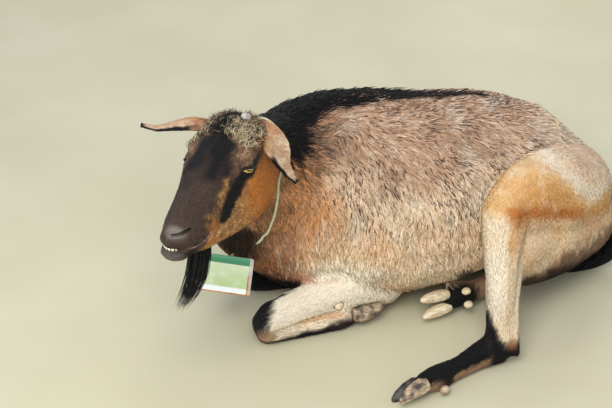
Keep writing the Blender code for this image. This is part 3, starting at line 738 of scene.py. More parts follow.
def neck_colours(points, ragged):
    """The neck: warm brown with dark streaks, a black nape, a dark throat partly of painted shade, and
    painted shade at its foot.
    """
    coat = Paint(points, NECK_BROWN)
    lay = coat.lay
    x, y, z = points.T
    lay(CHEST, 0.6 * smooth(-z, -0.26, -0.16))
    lay(ORANGE, 0.45 * spot(points, (-0.185, -0.04, 0.27), (0.04, 0.05, 0.07), 0.6))
    lay(MAUVE, 0.75 * smooth(z + 0.5 * (x + 0.16), 0.3, 0.335))
    # These two dark brown spots under the jaw are partly dark hair and partly painted shade.
    lay(DARK_BROWN, 0.45 * spot(points, (-0.245, -0.07, 0.26), (0.035, 0.06, 0.035), 0.6))
    lay(DARK_BROWN * 0.4, 0.97 * spot(points, (-0.288, 0.005, 0.176), (0.05, 0.07, 0.052), 0.5))
    drawn = points * (1, 1, 0.35)
    lay(DARK_BROWN, 0.6 * flecks(drawn, 0.0055, 35, 0.6, 0.75) * flecks(points, 0.04, 36, 0.35, 0.6))
    lay(DARK_BROWN, 0.6 * flecks(drawn, 0.008, 34, 0.42, 0.6) * smooth(z, 0.28, 0.32))
    nape = smooth(z + ragged * 0.018 + 0.1 * (y - 0.02), 0.322, 0.34)
    nape = nape * smooth(-x + ragged * 0.02, 0.15, 0.172)
    far = smooth(y + ragged * 0.014 - SPINE_Y + np.interp(x, BAND_X, BAND_HALF), -0.004, 0.006)
    lay(BLACK, np.maximum(nape, far * smooth(z, 0.3, 0.33)))
    # Black at the foot of the neck goes on with the painted shade under the chest.
    lay(BLACK, smooth(-z + ragged * 0.012, -0.094, -0.082))
    return coat.colour


print("middle of the flank:", trunk_colours(np.array([[0.1, -0.03, 0.25]]), 0.0).round(2))

# %% [markdown]
# Each folded foreleg is cream with a black front and underside. The near hind leg has a dome of fawn over
# a rust crease, ivory down the shank and a black foot. The far one lies tucked under the belly.

# %% Legs
KNEE_LEFT, KNEE_RIGHT = 0.241, 0.15  # how far forwards the black of each foreleg begins
# How high the black of its underside reaches, along x.
UNDER_X = (-0.26, -0.2, -0.15, -0.12, -0.07, -0.05)
UNDER_Z = (0.008, 0.011, 0.015, 0.021, 0.016, 0.011)


def fore_colours(points, ragged, knee):
    """A folded foreleg: cream, with black from the knee forwards and along its underside."""
    coat = Paint(points, CREAM)
    lay = coat.lay
    x, y, z = points.T
    lay(IVORY, 0.6 * smooth(z, 0.036, 0.05))
    fold = smooth(-np.abs(z - 0.036), -0.007, -0.002)
    lay(ORANGE, 0.55 * fold * smooth(x, -0.205, -0.185) * smooth(-x, 0.1, 0.13))
    forwards = -x - 0.3 * (0.05 - z) + 0.22 * (y + 0.06) + ragged * 0.01
    lay(BLACK, smooth(forwards, knee - 0.004, knee + 0.006))
    if knee == KNEE_LEFT:
        # Black along the forearm's top edge and the rust line behind it are partly dark hair and partly
        # painted shade where the forearm meets the chest.
        hair_and_shade_edge = line_distance(points, (-0.27, -0.045, 0.062), (-0.188, -0.02, 0.092))[0]
        lay(BLACK, smooth(0.0085 - hair_and_shade_edge + ragged * 0.004, -0.002, 0.003))
        rust_and_shade_line = line_distance(points, (-0.185, -0.028, 0.094), (-0.112, -0.032, 0.098))[0]
        lay(RUST, 0.7 * smooth(0.006 - rust_and_shade_line, -0.003, 0.003))
        lay(TICKED, 0.85 * spot(points, (-0.251, -0.066, 0.02), (0.015, 0.03, 0.015), 0.5))
    underside = np.interp(x, UNDER_X, UNDER_Z)
    lay(DARK_BROWN, 0.8 * smooth(underside + 0.004 - z + ragged * 0.008, -0.003, 0.003))
    lay(BLACK, smooth(underside - z + ragged * 0.006, -0.003, 0.002))
    lay(DARK_BROWN, 0.6 * smooth(x + ragged * 0.02, -0.145, -0.125) * smooth(-z, -0.034, -0.024))
    lay(TICKED, 0.6 * spot(points, (-0.085, -0.045, 0.03), (0.02, 0.03, 0.01), 0.5))
    return coat.colour


# The crease across the thigh, and the height of the dome of fawn above it along x.
CREASE = (
    (0.14, -0.148, 0.262), (0.151, -0.142, 0.258), (0.197, -0.122, 0.24), (0.245, -0.098, 0.221),
    (0.29, -0.072, 0.198), (0.335, -0.046, 0.175),
)
DOME_X = (0.1, 0.13, 0.155, 0.2, 0.22, 0.245, 0.262, 0.285, 0.31, 0.34)
DOME_Z = (0.25, 0.278, 0.292, 0.302, 0.3, 0.288, 0.27, 0.245, 0.222, 0.21)


def hind_colours(points, ragged):
    """A hind leg: a tan dome at the stifle, rust in its crease, ivory down the shank and a black foot."""
    coat = Paint(points, TAN)
    lay = coat.lay
    x, y, z = points.T
    above = z - np.interp(x, DOME_X, DOME_Z) + ragged * 0.016
    lay(FAWN, smooth(above, -0.01, 0.014))
    lay(IVORY, 0.55 * smooth(-np.abs(above - 0.006), -0.018, -0.002) * smooth(x, 0.19, 0.23))
    lay(MAUVE, 0.35 * smooth(above, 0.02, 0.05))
    lay(ORANGE, 0.55 * smooth(-above, 0.006, 0.028) * smooth(x, 0.14, 0.19))
    lay(CREAM, 0.3 * flecks(points, 0.02, 37, 0.5, 0.75))
    crease_z = np.interp(x, [c[0] for c in CREASE], [c[2] for c in CREASE])
    lower = smooth(crease_z - z + ragged * 0.01, -0.004, 0.014) * smooth(x, 0.14, 0.16)
    lay(CREAM * (1, 0.96, 0.9), 0.75 * lower)
    lay(ORANGE, 0.3 * lower * flecks(points, 0.03, 38, 0.4, 0.7))
    lay(ORANGE, 0.35 * lower * smooth(z - crease_z, -0.05, -0.008) * smooth(-x, -0.27, -0.22))
    crease = polyline_distance(points, CREASE)
    lay(RUST, 0.85 * smooth(0.008 - crease + ragged * 0.01, -0.008, 0.006) * smooth(-x, -0.345, -0.26))
    lay(RUST, 0.55 * spot(points, (0.16, -0.138, 0.248), (0.02, 0.03, 0.016), 0.6))
    front = line_distance(points, (0.116, -0.136, 0.25), (0.098, -0.205, 0.11))[0]
    lay(CREAM, 0.8 * smooth(-z, -0.21, -0.16) * smooth(-x, -0.18, -0.165))
    inside = line_distance(points, (0.146, -0.16, 0.205), (0.126, -0.2, 0.085))[0]
    lay(ORANGE, 0.12 * smooth(0.011 - inside + ragged * 0.008, -0.006, 0.008))
    shank = smooth(-front + ragged * 0.008, -0.034, -0.02)
    lay(IVORY, 0.65 * shank * smooth(z, 0.05, 0.09) * smooth(-z, -0.262, -0.24))
    lay(TICK_BROWN, 0.8 * smooth(-z + ragged * 0.03, -0.146, -0.118) * smooth(x, 0.21, 0.25))
    # Dark brown under the thigh is partly dark hair and partly painted shade.
    hollow = smooth(-z + ragged * 0.02 - 0.25 * (x - 0.23), -0.128, -0.106)
    lay(DARK_BROWN * 0.6, 0.95 * hollow * smooth(x, 0.165, 0.19))
    low_front = smooth(0.118 + 0.42 * (0.06 - z) - x + ragged * 0.01, -0.004, 0.006)
    lay(BLACK, low_front * smooth(-z - y * 0.15 + ragged * 0.012, -0.086, -0.062))
    lay(BLACK, smooth(-z + ragged * 0.01, -0.056, -0.044) * smooth(x, 0.1, 0.112))
    lay(CHEST, 0.8 * spot(points, (0.138, -0.205, 0.046), (0.01, 0.02, 0.01), 0.5))
    metatarsus = smooth(-x, -0.108, -0.092)
    lay(TICKED * 1.05, metatarsus * smooth(-z, -0.034, -0.026))
    lay(TICK_BROWN, 0.7 * metatarsus * flecks(points, 0.004, 39, 0.5, 0.62))
    lay(BLACK, metatarsus * smooth(z + ragged * 0.01, 0.0195, 0.0265))
    lay(BLACK, 0.95 * metatarsus * smooth(0.011 - np.abs(x - 0.02) + ragged * 0.008, -0.004, 0.004))
    lay(BLACK, metatarsus * smooth(-x + ragged * 0.01, 0.022, 0.034))
    lay(TICKED, 0.9 * spot(points, (-0.006, -0.262, 0.014), (0.017, 0.03, 0.013), 0.5))
    return coat.colour


def tucked_colours(points, ragged):
    """The hind leg that lies under the belly: like the flank above, brown below, black round its foot."""
    coat = Paint(points, trunk_colours(points, ragged))
    lay = coat.lay
    x, y, z = points.T
    lay(TAN, 0.35 * smooth(y, 0.1, 0.15))
    lay(MAUVE, 0.8 * smooth(-y, -0.12, -0.06) * smooth(-z, -0.1, -0.07))
    lay(RUST, 0.5 * smooth(z, 0.05, 0.07) * smooth(-y, 0.0, 0.04))
    lay(BLACK, smooth(-x + ragged * 0.012, -0.15, -0.128) * smooth(-y, 0.0, 0.03))
    lay(CREAM, 0.5 * spot(points, (0.135, 0.24, 0.07), (0.05, 0.04, 0.04), 0.6))
    return coat.colour


print("knee:", fore_colours(np.array([[-0.27, -0.05, 0.03]]), 0.0, KNEE_LEFT).round(2))

# %% [markdown]
# The face is black with grizzled brows, a tan patch and a black stripe from the eye to the mouth, bright
# tan cheeks, a grey nose and pale lips. The nose and the upper lip are lighter partly from a painted
# highlight, the front of the face has a faint painted sheen, and the dark under the jaw is partly painted
# shade. Its patches are placed on the head's own axes.

# %% Head
# The lids' middle, and how an egg round them is squeezed: long, low and shallow.
LID_MIDDLE = EYE + GAZE * (BALL + 0.002)
LID_LONG, LID_OVER = eye_axes(1)[1:]
LID_SQUEEZE = np.stack([LID_LONG / 0.013, LID_OVER / 0.0058, GAZE / 0.012], axis=1)
# Dark lines from the eye's corners: the way to the corner, where the line ends and half its breadth.
EYE_LINES = ((0.0125, (0.112, 0.049, -0.029), 0.0026), (-0.0125, (0.066, 0.06, -0.034), 0.0024))
# Routes on the left of the face, in head axes.
STRIPE = ((0.116, 0.049, -0.031), (0.134, 0.046, -0.038), (0.158, 0.04, -0.053), (0.188, 0.034, -0.069))
MUZZLE_TAN = ((0.15, 0.041, -0.026), (0.176, 0.036, -0.036), (0.193, 0.033, -0.046), (0.214, 0.031, -0.043))
UPPER_LIP = ((0.257, 0.013, -0.063), (0.24, 0.026, -0.065), (0.222, 0.034, -0.0635), (0.213, 0.037, -0.06))
LOWER_LIP = ((0.242, 0.018, -0.086), (0.233, 0.028, -0.081), (0.218, 0.034, -0.079), (0.2, 0.038, -0.088))


def band(points, line, half, rough, soft=0.003):
    """1 along a line of points and 0 beside it, with a ragged edge."""
    return smooth(half - polyline_distance(points, line) + rough, -soft, soft)


def head_colours(place, ragged):
    """Colours in head axes: x runs down the face, y out to the ears and z up off the face."""
    coat = Paint(place, FACE)
    lay = coat.lay
    x, y, z = place.T
    side = np.abs(y)
    both = np.stack([x, side, z], axis=1)
    blur = soft_noise(place * (0.5, 1, 1), 0.012, 41)
    dashes = flecks(place * (1, 0.35, 0.35), 0.003, 42, 0.42, 0.6)
    lay(MUZZLE, 0.85 * smooth(x + 0.05 * (blur - 0.5), 0.13, 0.2))
    # A faint brown over the front of the face is partly brown streaks in the hair and partly painted sheen.
    lay(TICK_BROWN, 0.09 * smooth(blur, 0.45, 0.75) * smooth(z, -0.05, -0.02) * smooth(x, 0.08, 0.12))
    strands = flecks(place * (0.35, 1, 1), 0.0026, 46, 0.4, 0.62)
    lay(TICKED, (1 - 0.5 * strands) * spot(both, (0.088, 0.047, -0.01), (0.026, 0.017, 0.013), 0.7))
    lay(TICK_BROWN, 0.8 * spot(both, (0.118, 0.046, -0.02), (0.028, 0.01, 0.013), 0.6))
    lay(TICK_BROWN * 1.3, 0.85 * spot(both, (0.1, 0.055, -0.048), (0.022, 0.012, 0.006), 0.5))
    jaw = smooth(-z - 0.2 * (x - 0.06) + ragged * 0.006, 0.034, 0.044) * smooth(side, 0.012, 0.02)
    jaw *= smooth(-x, -0.24, -0.215)
    lay(CHEEK, jaw)
    lay(TAN, 0.55 * jaw * smooth(x + 0.05 * (blur - 0.5), 0.09, 0.15))
    lay(TAN, 0.6 * jaw * spot(both, (0.196, 0.038, -0.07), (0.018, 0.02, 0.012), 0.6))
    lay(RUST * 0.7, 0.35 * jaw * smooth(-x, -0.1, -0.06))
    lay(CHEEK, 0.8 * spot(both, (0.206, 0.034, -0.06), (0.014, 0.014, 0.014), 0.6) * (1 - 0.4 * dashes))
    lay(DARK_BROWN, 0.55 * jaw * dashes * smooth(x + 0.03 * (blur - 0.5), 0.08, 0.15))
    patch = band(both, MUZZLE_TAN, 0.01, ragged * 0.014, 0.008)
    lay(STRAW, 0.8 * patch * (1 - 0.6 * dashes))
    lay(BLACK, 0.55 * patch * dashes)
    width = np.interp(x, (0.112, 0.135, 0.165, 0.19), (0.0075, 0.015, 0.014, 0.0065))
    lay(BLACK, band(both, STRIPE, width, ragged * 0.01, 0.0035))
    # Dark brown under the jaw and at the throat is partly dark hair and partly painted shade.
    throat = smooth(-z - 0.018 * np.cos(12 * x) + 0.012, 0.138, 0.15)
    lay(DARK_BROWN, 0.85 * throat * smooth(-x, -0.2, -0.15))
    lay(DARK_BROWN, 0.85 * smooth(-z, 0.108, 0.118) * smooth(x, 0.15, 0.19))
    lay(MUZZLE * 1.6, 0.6 * spot(both, (0.232, 0.033, -0.052), (0.014, 0.01, 0.008), 0.5))
    # The pale band along the upper lip is partly lip colour and partly a painted highlight.
    lay(LIP, 0.85 * band(both, UPPER_LIP, 0.0028, ragged * 0.002, 0.0015))
    lay(CHEEK, 0.9 * band(both, LOWER_LIP, 0.0055, ragged * 0.004, 0.002))
    # The nose pad's lighter grey is partly its own grey and partly a painted highlight on the wet nose.
    nose = spot(place, (0.262, -0.006, -0.032), (0.013, 0.022, 0.011), 0.4)
    lay(GREY * 0.55, 0.75 * nose)
    speckle = flecks(place, 0.0028, 43, 0.4, 0.6)
    chin = spot(place, (0.262, -0.018, -0.08), (0.02, 0.026, 0.012), 0.4)
    lay(GREY * 0.45, 0.85 * chin * (0.5 + 0.5 * speckle))
    lay(BLACK, 0.9 * smooth(-z, 0.09, 0.098) * smooth(x, 0.215, 0.235))
    lay(BLACK, spot(place, (0.249, 0.014, -0.08), (0.012, 0.01, 0.012), 0.4))
    mouth = polyline_distance(place, MOUTH)
    lay(BLACK, 0.9 * smooth(-mouth, -0.0022, -0.0008))
    slit = np.minimum(polyline_distance(place, NOSTRILS[1]), polyline_distance(place, NOSTRILS[-1]))
    lay(BLACK * 0.6, smooth(-slit, -0.003, -0.0016))
    lids = np.linalg.norm((both - LID_MIDDLE) @ LID_SQUEEZE, axis=1)
    lay(BLACK, 0.95 * smooth(1.25 - lids + ragged * 0.3, -0.15, 0.15))
    for way, end, half in EYE_LINES:
        corner = line_distance(both, LID_MIDDLE + LID_LONG * way, end)[0]
        lay(BLACK, 0.9 * smooth(half - corner, -0.001, 0.002))
    curls = smooth(-x + 0.35 * side, -0.072, -0.06) * smooth(z, -0.03, -0.018)
    curls = curls * smooth(0.058 - side, -0.004, 0.004)
    lay(TICKED, 0.75 * curls * (1 - 0.6 * strands) * smooth(side + ragged * 0.006, 0.01, 0.016))
    lay(BLACK, 0.8 * curls * smooth(ragged, 0.22, 0.36))
    lay(DARK_BROWN * 0.8, 0.85 * spot(both, (0.045, 0.06, -0.03), (0.034, 0.01, 0.022), 0.6))
    lay(RUST * 0.8, 0.75 * spot(both, (0.028, 0.058, -0.014), (0.034, 0.013, 0.016), 0.6))
    lay(NECK_BROWN, 0.6 * smooth(-x, 0.0, 0.02))
    return coat.colour


print("bridge of the nose:", head_colours(np.array([[0.15, 0.0, 0.0]]), 0.0).round(3))

# %% [markdown]
# An ear's colours follow its middle line: how far along it a point is, and how far out across it.

# %% Ears
EAR_LINES = [
    np.array(line) + MIDDLE
    for line in (
        (
            (-0.273, -0.128, 0.437), (-0.257, -0.138, 0.423), (-0.243, -0.146, 0.402),
            (-0.236, -0.151, 0.381), (-0.226, -0.154, 0.362), (-0.213, -0.156, 0.345),
        ),
        (
            (-0.338, -0.082, 0.426), (-0.367, -0.073, 0.429), (-0.394, -0.066, 0.424), (-0.42, -0.061, 0.417),
            (-0.446, -0.057, 0.423),
        ),
    )
]
EAR_ACROSS = (np.array((0.86, 0.47, 0.14)), np.array((-0.45, -0.85, 0.0)))  # ways across the ears
EAR_WIDTH = (0.023, 0.022)  # half the breadth at the widest place
EAR_CREAM = (0.45, 0.2)  # how much cream is in their pink
EAR_RIM = (-1.0, 1.0)  # which edge of each ear is black
EAR_RIM_FROM = ((0.36, 0.48), (0.1, 0.3))  # how far along it the black begins
EAR_RIM_EDGE = ((0.4, 0.62), (0.52, 0.74))  # how far out across it the black begins


def ear_colours(points, ragged, which):
    """An ear: pinkish, orange inside its base, and black along its lower rim and at its tip."""
    line, across, width = EAR_LINES[which], unit(EAR_ACROSS[which]), EAR_WIDTH[which]
    spans = [line_distance(points, a, b) for a, b in zip(line, line[1:])]
    nearest = np.argmin([s[0] for s in spans], axis=0)
    part = np.choose(nearest, [s[1] for s in spans])
    along = (nearest + part) / (len(line) - 1)
    middle = line[nearest] + (line[nearest + 1] - line[nearest]) * part[:, None]
    half = width * (0.42 + 0.58 * np.sin(np.pi * np.minimum(1, along * 1.15 + 0.18)))
    half = np.maximum(half * np.where(along < 0.72, 1, np.cos((along - 0.72) / 0.28 * np.pi / 2)), 0.005)
    out = ((points - middle) @ across) / half
    coat = Paint(points, EAR_PINK)
    lay = coat.lay
    lay(CREAM, EAR_CREAM[which] * flecks(points, 0.01, 44, 0.35, 0.65))
    hollow = smooth(-along + ragged * 0.1, -0.5, -0.15) * smooth(-out + ragged * 0.3, 0.1, 0.55)
    lay(ORANGE * 0.9, 0.8 * hollow)
    streaks = flecks(points * (0.6, 0.6, 1), 0.0042, 47, 0.45, 0.68)
    lay(MAUVE * 0.8, 0.4 * streaks)
    lay(RUST * 0.75, 0.55 * smooth(-along + ragged * 0.15, -0.36, -0.14))
    lay(TICK_BROWN, 0.75 * smooth(-along + ragged * 0.2, -0.18, -0.02))
    rim = smooth(EAR_RIM[which] * out + ragged * 0.25, *EAR_RIM_EDGE[which])
    rim = rim * smooth(along, *EAR_RIM_FROM[which])
    lay(BLACK, np.maximum(rim, smooth(along, 0.9, 0.97)))
    return coat.colour


print("tip of an ear:", ear_colours(EAR_LINES[0][-1:], 0.0, 0).round(3))

# %% [markdown]
# One function puts all of this together. Noise makes every edge ragged, and across the neck's two ends
# the colours of both sides are mixed along a plane.

# %% All the markings
# Planes where the trunk's colours pass into the neck's, and those into the head's.
NECK_BASE = (np.array((-0.173, 0.0635, 0.28)), unit(np.array((-0.78, -0.3, 0.55))))
THROAT = (np.array((-0.243, -0.0145, 0.372)), unit(np.array((-0.45, -0.66, 0.6))))


def past(points, plane, soft, ragged):
    """Rises from 0 to 1 from one side of a plane to the other."""
    return smooth((points - plane[0]) @ plane[1] + ragged * soft, -soft, soft)[:, None]


def coat_colours(points, region):
    """The colour of the coat at each point, as linear light."""
    ragged = soft_noise(points, 0.011, 1) + 0.6 * soft_noise(points, 0.0045, 2) - 0.8
    colour = np.zeros((len(points), 3))
    for index in set(region):
        chosen = region == index
        here, rough = points[chosen], ragged[chosen]
        if index == HEAD:
            share = past(here, THROAT, 0.008, rough)
            made = head_colours(in_head(here), rough) * share + neck_colours(here, rough) * (1 - share)
        elif index in (NECK, TRUNK):
            share = past(here, NECK_BASE, 0.045, rough)
            made = neck_colours(here, rough) * share + trunk_colours(here, rough) * (1 - share)
        elif index == TAIL:
            made = np.tile(BLACK, (len(here), 1))
        elif index in (FORE_LEFT, FORE_RIGHT):
            made = fore_colours(here, rough, KNEE_LEFT if index == FORE_LEFT else KNEE_RIGHT)
            if index == FORE_RIGHT:
                upper = smooth(here[:, 2] + rough * 0.02, 0.08, 0.12)[:, None]
                made = made * (1 - upper) + trunk_colours(here, rough) * upper
        elif index == HIND_LEFT:
            made = hind_colours(here, rough)
        elif index == HIND_RIGHT:
            made = tucked_colours(here, rough)
        else:
            made = ear_colours(here, rough, EARS.index(index))
        colour[chosen] = made
    return colour * (0.9 + 0.2 * soft_noise(points, 0.05, 3))[:, None]


skin_colour = coat_colours(skin_points, skin_region)
print("mean colour of the coat:", np.round(skin_colour.mean(axis=0), 3))

# %% [markdown]
# ## Skin under the coat
# The skin shows between the hairs and on the nose, lids and lips. It takes the markings from a colour
# stored on its points, darker than the hair because it lies in shade, with a fine fur grain as bump.


# %% Skin material
def store_colour(mesh, colours):
    layer = mesh.color_attributes.new("coat_colour", "FLOAT_COLOR", "POINT")
    layer.data.foreach_set("color", np.hstack([np.clip(colours, 0, 1), np.ones((len(colours), 1))]).ravel())


store_colour(skin.data, skin_colour)
place_on_head = in_head(skin_points)
folded = np.abs(place_on_head) * (0, 1, 0) + place_on_head * (1, 0, 1)
nose_leather = spot(place_on_head, (0.262, -0.007, -0.036), (0.014, 0.025, 0.013), 0.3)
near_mouth = smooth(-polyline_distance(place_on_head, MOUTH), -0.005, -0.002)
near_lids = smooth(-np.linalg.norm((folded - LID_MIDDLE) @ LID_SQUEEZE, axis=1), -1.25, -0.8)
bareness = np.where(skin_region == HEAD, np.maximum.reduce([nose_leather, near_mouth, near_lids]), 0)
layer = skin.data.attributes.new("bare", "FLOAT", "POINT")
layer.data.foreach_set("value", bareness)

hide = Finish("skin", sheen_weight=0.03, sheen_roughness=0.5, specular_ior_level=0.3, ior=1.4)
marking = hide.attribute("coat_colour")
naked = hide.attribute("bare", "Fac")
pores = hide.noise(900.0, 2.0)
grain = hide.noise(1500.0, 3.0, hide.stretched((1, 1, 0.25)))
shaded = hide.mix(grain.step(0.3, 0.75), (0.55, 0.55, 0.55), (1.0, 1.0, 1.0))
coated = hide.mix(1.0 - naked * 0.8, marking, shaded, "MULTIPLY")
skin.data.materials.append(hide.finish(
    base_color=coated,
    roughness=0.78 - naked * 0.36,
    normal=hide.bump(grain * (1 - naked) + pores * naked * 0.4, 0.0007, 0.6),
))
print("bare skin points:", int((bareness > 0.5).sum()))

# %% [markdown]
# ## Unwrapping the skin
# Each tuft keeps a place on a flat map of the skin, so that the map can hold its colour later. Blender's
# smart projection cuts the skin where it bends sharply and lays the pieces flat.

# %% Unwrap the skin
bpy.context.view_layer.objects.active = skin
skin.select_set(True)
bpy.ops.object.mode_set(mode="EDIT")
bpy.ops.mesh.select_all(action="SELECT")
bpy.ops.uv.smart_project(angle_limit=math.radians(75), island_margin=0.002)
bpy.ops.object.mode_set(mode="OBJECT")
skin.data.uv_layers[0].name = "OFBake"
skin_corner_uv = np.zeros(len(skin.data.loops) * 2)
skin.data.uv_layers[0].data.foreach_get("uv", skin_corner_uv)
skin_corner_uv = skin_corner_uv.reshape(-1, 3, 2)
skin_triangles = np.zeros(len(skin.data.loops), dtype=np.int64)
skin.data.loops.foreach_get("vertex_index", skin_triangles)
skin_triangles = skin_triangles.reshape(-1, 3)
print("map from", skin_corner_uv.min().round(3), "to", skin_corner_uv.max().round(3))

# %% [markdown]
# ## Which way the hair lies
# Hair on a goat sweeps from the nose to the poll, down the neck, back and down over the flanks, and down
# each limb to the foot. A few strokes drawn along the body give that direction: every point takes the mean
# of its strokes, weighted by nearness, and lays it flat on the skin.

# %% Lie of the coat
STROKES = {
    NECK: (
        ((-0.245, -0.02, 0.4), (-0.19, 0.05, 0.3)),
        ((-0.25, -0.03, 0.3), (-0.22, 0.0, 0.16)),
        ((-0.2, 0.09, 0.38), (-0.12, 0.12, 0.37)),
    ),
    TAIL: (
        ((0.377, 0.094, 0.16), (0.421, 0.092, 0.124)),
        ((0.421, 0.092, 0.124), (0.429, 0.076, 0.07)),
        ((0.429, 0.076, 0.07), (0.397, 0.06, 0.032)),
        ((0.397, 0.06, 0.032), (0.32, 0.052, 0.014)),
    ),
    FORE_LEFT: (
        ((-0.185, 0.036, 0.165), (-0.03, 0.01, 0.062)),
        ((-0.03, 0.008, 0.06), (-0.25, -0.048, 0.038)),
        ((-0.247, -0.054, 0.022), (-0.095, -0.032, 0.022)),
    ),
    FORE_RIGHT: (
        ((-0.175, 0.178, 0.165), (-0.035, 0.212, 0.062)),
        ((-0.035, 0.21, 0.056), (-0.245, 0.116, 0.036)),
        ((-0.238, 0.112, 0.022), (-0.085, 0.122, 0.022)),
    ),
    HIND_LEFT: (
        ((0.28, -0.02, 0.27), (0.29, -0.06, 0.15)),
        ((0.17, -0.09, 0.27), (0.16, -0.11, 0.2)),
        ((0.143, -0.109, 0.22), (0.119, -0.191, 0.05)),
        ((0.115, -0.193, 0.03), (-0.027, -0.256, 0.024)),
    ),
    HIND_RIGHT: (
        ((0.26, 0.22, 0.16), (0.26, 0.24, 0.06)),
        ((0.14, 0.24, 0.08), (0.15, 0.25, 0.03)),
        ((0.14, 0.238, 0.05), (0.237, 0.076, 0.034)),
        ((0.237, 0.066, 0.034), (0.077, -0.035, 0.031)),
    ),
}


def stroke_mean(points, strokes):
    total = np.zeros((len(points), 3))
    for start, end in strokes:
        away = line_distance(points, start, end)[0]
        total += unit(np.array(end) - np.array(start)) / (away[:, None] ** 2 + 0.0002)
    return unit(total)


def lie_of_coat(points, region, normals):
    """The unit direction in which hair lies on the skin at each point."""
    lie = np.zeros((len(points), 3))
    for index in set(region):
        chosen = region == index
        here = points[chosen]
        if index == HEAD:
            place = in_head(here)
            sweep = np.tile((-1.0, 0.0, 0.0), (len(here), 1))
            sweep[:, 2] = -0.45 * smooth(-place[:, 2], 0.03, 0.06)
            sweep[:, 1] = np.sign(place[:, 1]) * 0.35 * smooth(place[:, 2], -0.05, -0.01)
            made = sweep @ head_axes.T
        elif index == TRUNK:
            made = np.tile((0.16, 0.0, -1.0), (len(here), 1))
            made[:, 0] += 0.45 * smooth(here[:, 2], 0.2, 0.33) * smooth(here[:, 0], -0.22, -0.15)
            made[:, 0] += 1.2 * smooth(here[:, 2], 0.335, 0.365) * smooth(here[:, 0], -0.22, -0.15)
            made[:, 0] += 0.5 * smooth(here[:, 0], 0.25, 0.33)
        elif index in EARS:
            line = EAR_LINES[EARS.index(index)]
            made = stroke_mean(here, list(zip(line, line[1:])))
        else:
            made = stroke_mean(here, STROKES[index])
        lie[chosen] = made
    wander = np.stack([soft_noise(points, 0.03, 11 + k) - 0.5 for k in range(3)], axis=1)
    lie = unit(lie) + 0.7 * wander
    return unit(lie - normals * (lie * normals).sum(axis=1, keepdims=True))


skin_lie = lie_of_coat(skin_points, skin_region, skin_normals)
print("hair lies mostly", "down" if skin_lie[:, 2].mean() < 0 else "up")

# %% [markdown]
# ## Tufts
# A real coat has millions of hairs. Hairs cling together in tufts, so a thin tapering spike with three
# sides stands for each tuft, and tufts overlap as tiles do. Short hair needs only a base and a tip; longer
# hair gets rings between them, so that it follows the curve of the body. All spikes of an area are one mesh.

# %% Shape of a tuft
dice = np.random.default_rng(7)
skin_tree = BVHTree.FromPolygons([Vector(p) for p in skin_points], skin_triangles.tolist())
TAPER = (1.0, 0.92, 0.78, 0.62, 0.5, 0.4)  # a tuft's breadth at each ring
ROOT_SHADE, TIP_SHADE = 0.86, 1.1
MAP_PATCH = 0.0015  # half of a tuft's patch on the map


def tuft_mesh(name, paths, across, width, colours, roots_uv):
    """One mesh of closed three-sided spikes. Each path has its rings and then the tip."""
    count, steps = paths.shape[0], paths.shape[1]
    rings = steps - 1
    ahead = np.zeros_like(paths)
    ahead[:, :-1] = paths[:, 1:] - paths[:, :-1]
    ahead[:, -1] = ahead[:, -2]
    shared = (across[:, None, :] * ahead).sum(2, keepdims=True)
    side = unit(across[:, None, :] - ahead * shared / np.maximum((ahead**2).sum(2, keepdims=True), 1e-12))
    over = np.cross(unit(ahead), side)
    corners = []
    for ring in range(rings):
        half = (width * TAPER[ring] / 2)[:, None]
        for turn in map(math.radians, (90, 210, 330)):
            spoke = side[:, ring] * math.cos(turn) + over[:, ring] * math.sin(turn) * 0.8
            corners.append(paths[:, ring] + half * spoke)
    corners.append(paths[:, -1])
    block = np.stack(corners, axis=1)
    size = block.shape[1]
    faces = [(2, 1, 0)]
    for ring in range(rings - 1):
        a, b = 3 * ring, 3 * ring + 3
        for k in range(3):
            j = (k + 1) % 3
            faces += [(a + k, a + j, b + j), (a + k, b + j, b + k)]
    a = 3 * (rings - 1)
    faces += [(a + k, a + (k + 1) % 3, size - 1) for k in range(3)]
    faces = np.array(faces)
    every = (faces[None] + (np.arange(count) * size)[:, None, None]).reshape(-1, 3)
    mesh = bpy.data.meshes.new(name)
    mesh.vertices.add(count * size)
    mesh.vertices.foreach_set("co", block.ravel())
    mesh.loops.add(len(every) * 3)
    mesh.loops.foreach_set("vertex_index", every.ravel())
    mesh.polygons.add(len(every))
    mesh.polygons.foreach_set("loop_start", np.arange(len(every)) * 3)
    mesh.polygons.foreach_set("loop_total", np.full(len(every), 3))
    mesh.update(calc_edges=True)
    shade_smooth(mesh)
    shade = np.array([ROOT_SHADE] * 3 + [1.0] * (size - 4) + [TIP_SHADE])
    store_colour(mesh, (colours[:, None, :] * shade[None, :, None]).reshape(-1, 3))
    apart = (np.linspace(-MAP_PATCH, MAP_PATCH, size), np.tile((-MAP_PATCH, MAP_PATCH, 0), size)[:size])
    uv = (roots_uv[:, None, :] + np.stack(apart, axis=1)[None]).reshape(-1, 2)
    layer = mesh.uv_layers.new(name="OFBake")
    layer.data.foreach_set("uv", np.clip(uv[every.ravel()], 0.0005, 0.9995).ravel())
    return mesh


tuft_finish = Finish(
    "coat", roughness=0.62, specular_ior_level=0.3, sheen_weight=0.04, sheen_roughness=0.45, ior=1.45
)
strand_colour = tuft_finish.attribute("coat_colour")
strand_grain = tuft_finish.noise(2600.0, 1.0)
streaked = tuft_finish.mix(strand_grain.step(0.25, 0.8), (0.84, 0.84, 0.84), (1.1, 1.1, 1.1))
coat_material = tuft_finish.finish(
    base_color=tuft_finish.mix(1.0, strand_colour, streaked, "MULTIPLY"),
    roughness=0.52 + strand_grain * 0.2,
    normal=tuft_finish.bump(strand_grain, 0.0002, 0.4),
)


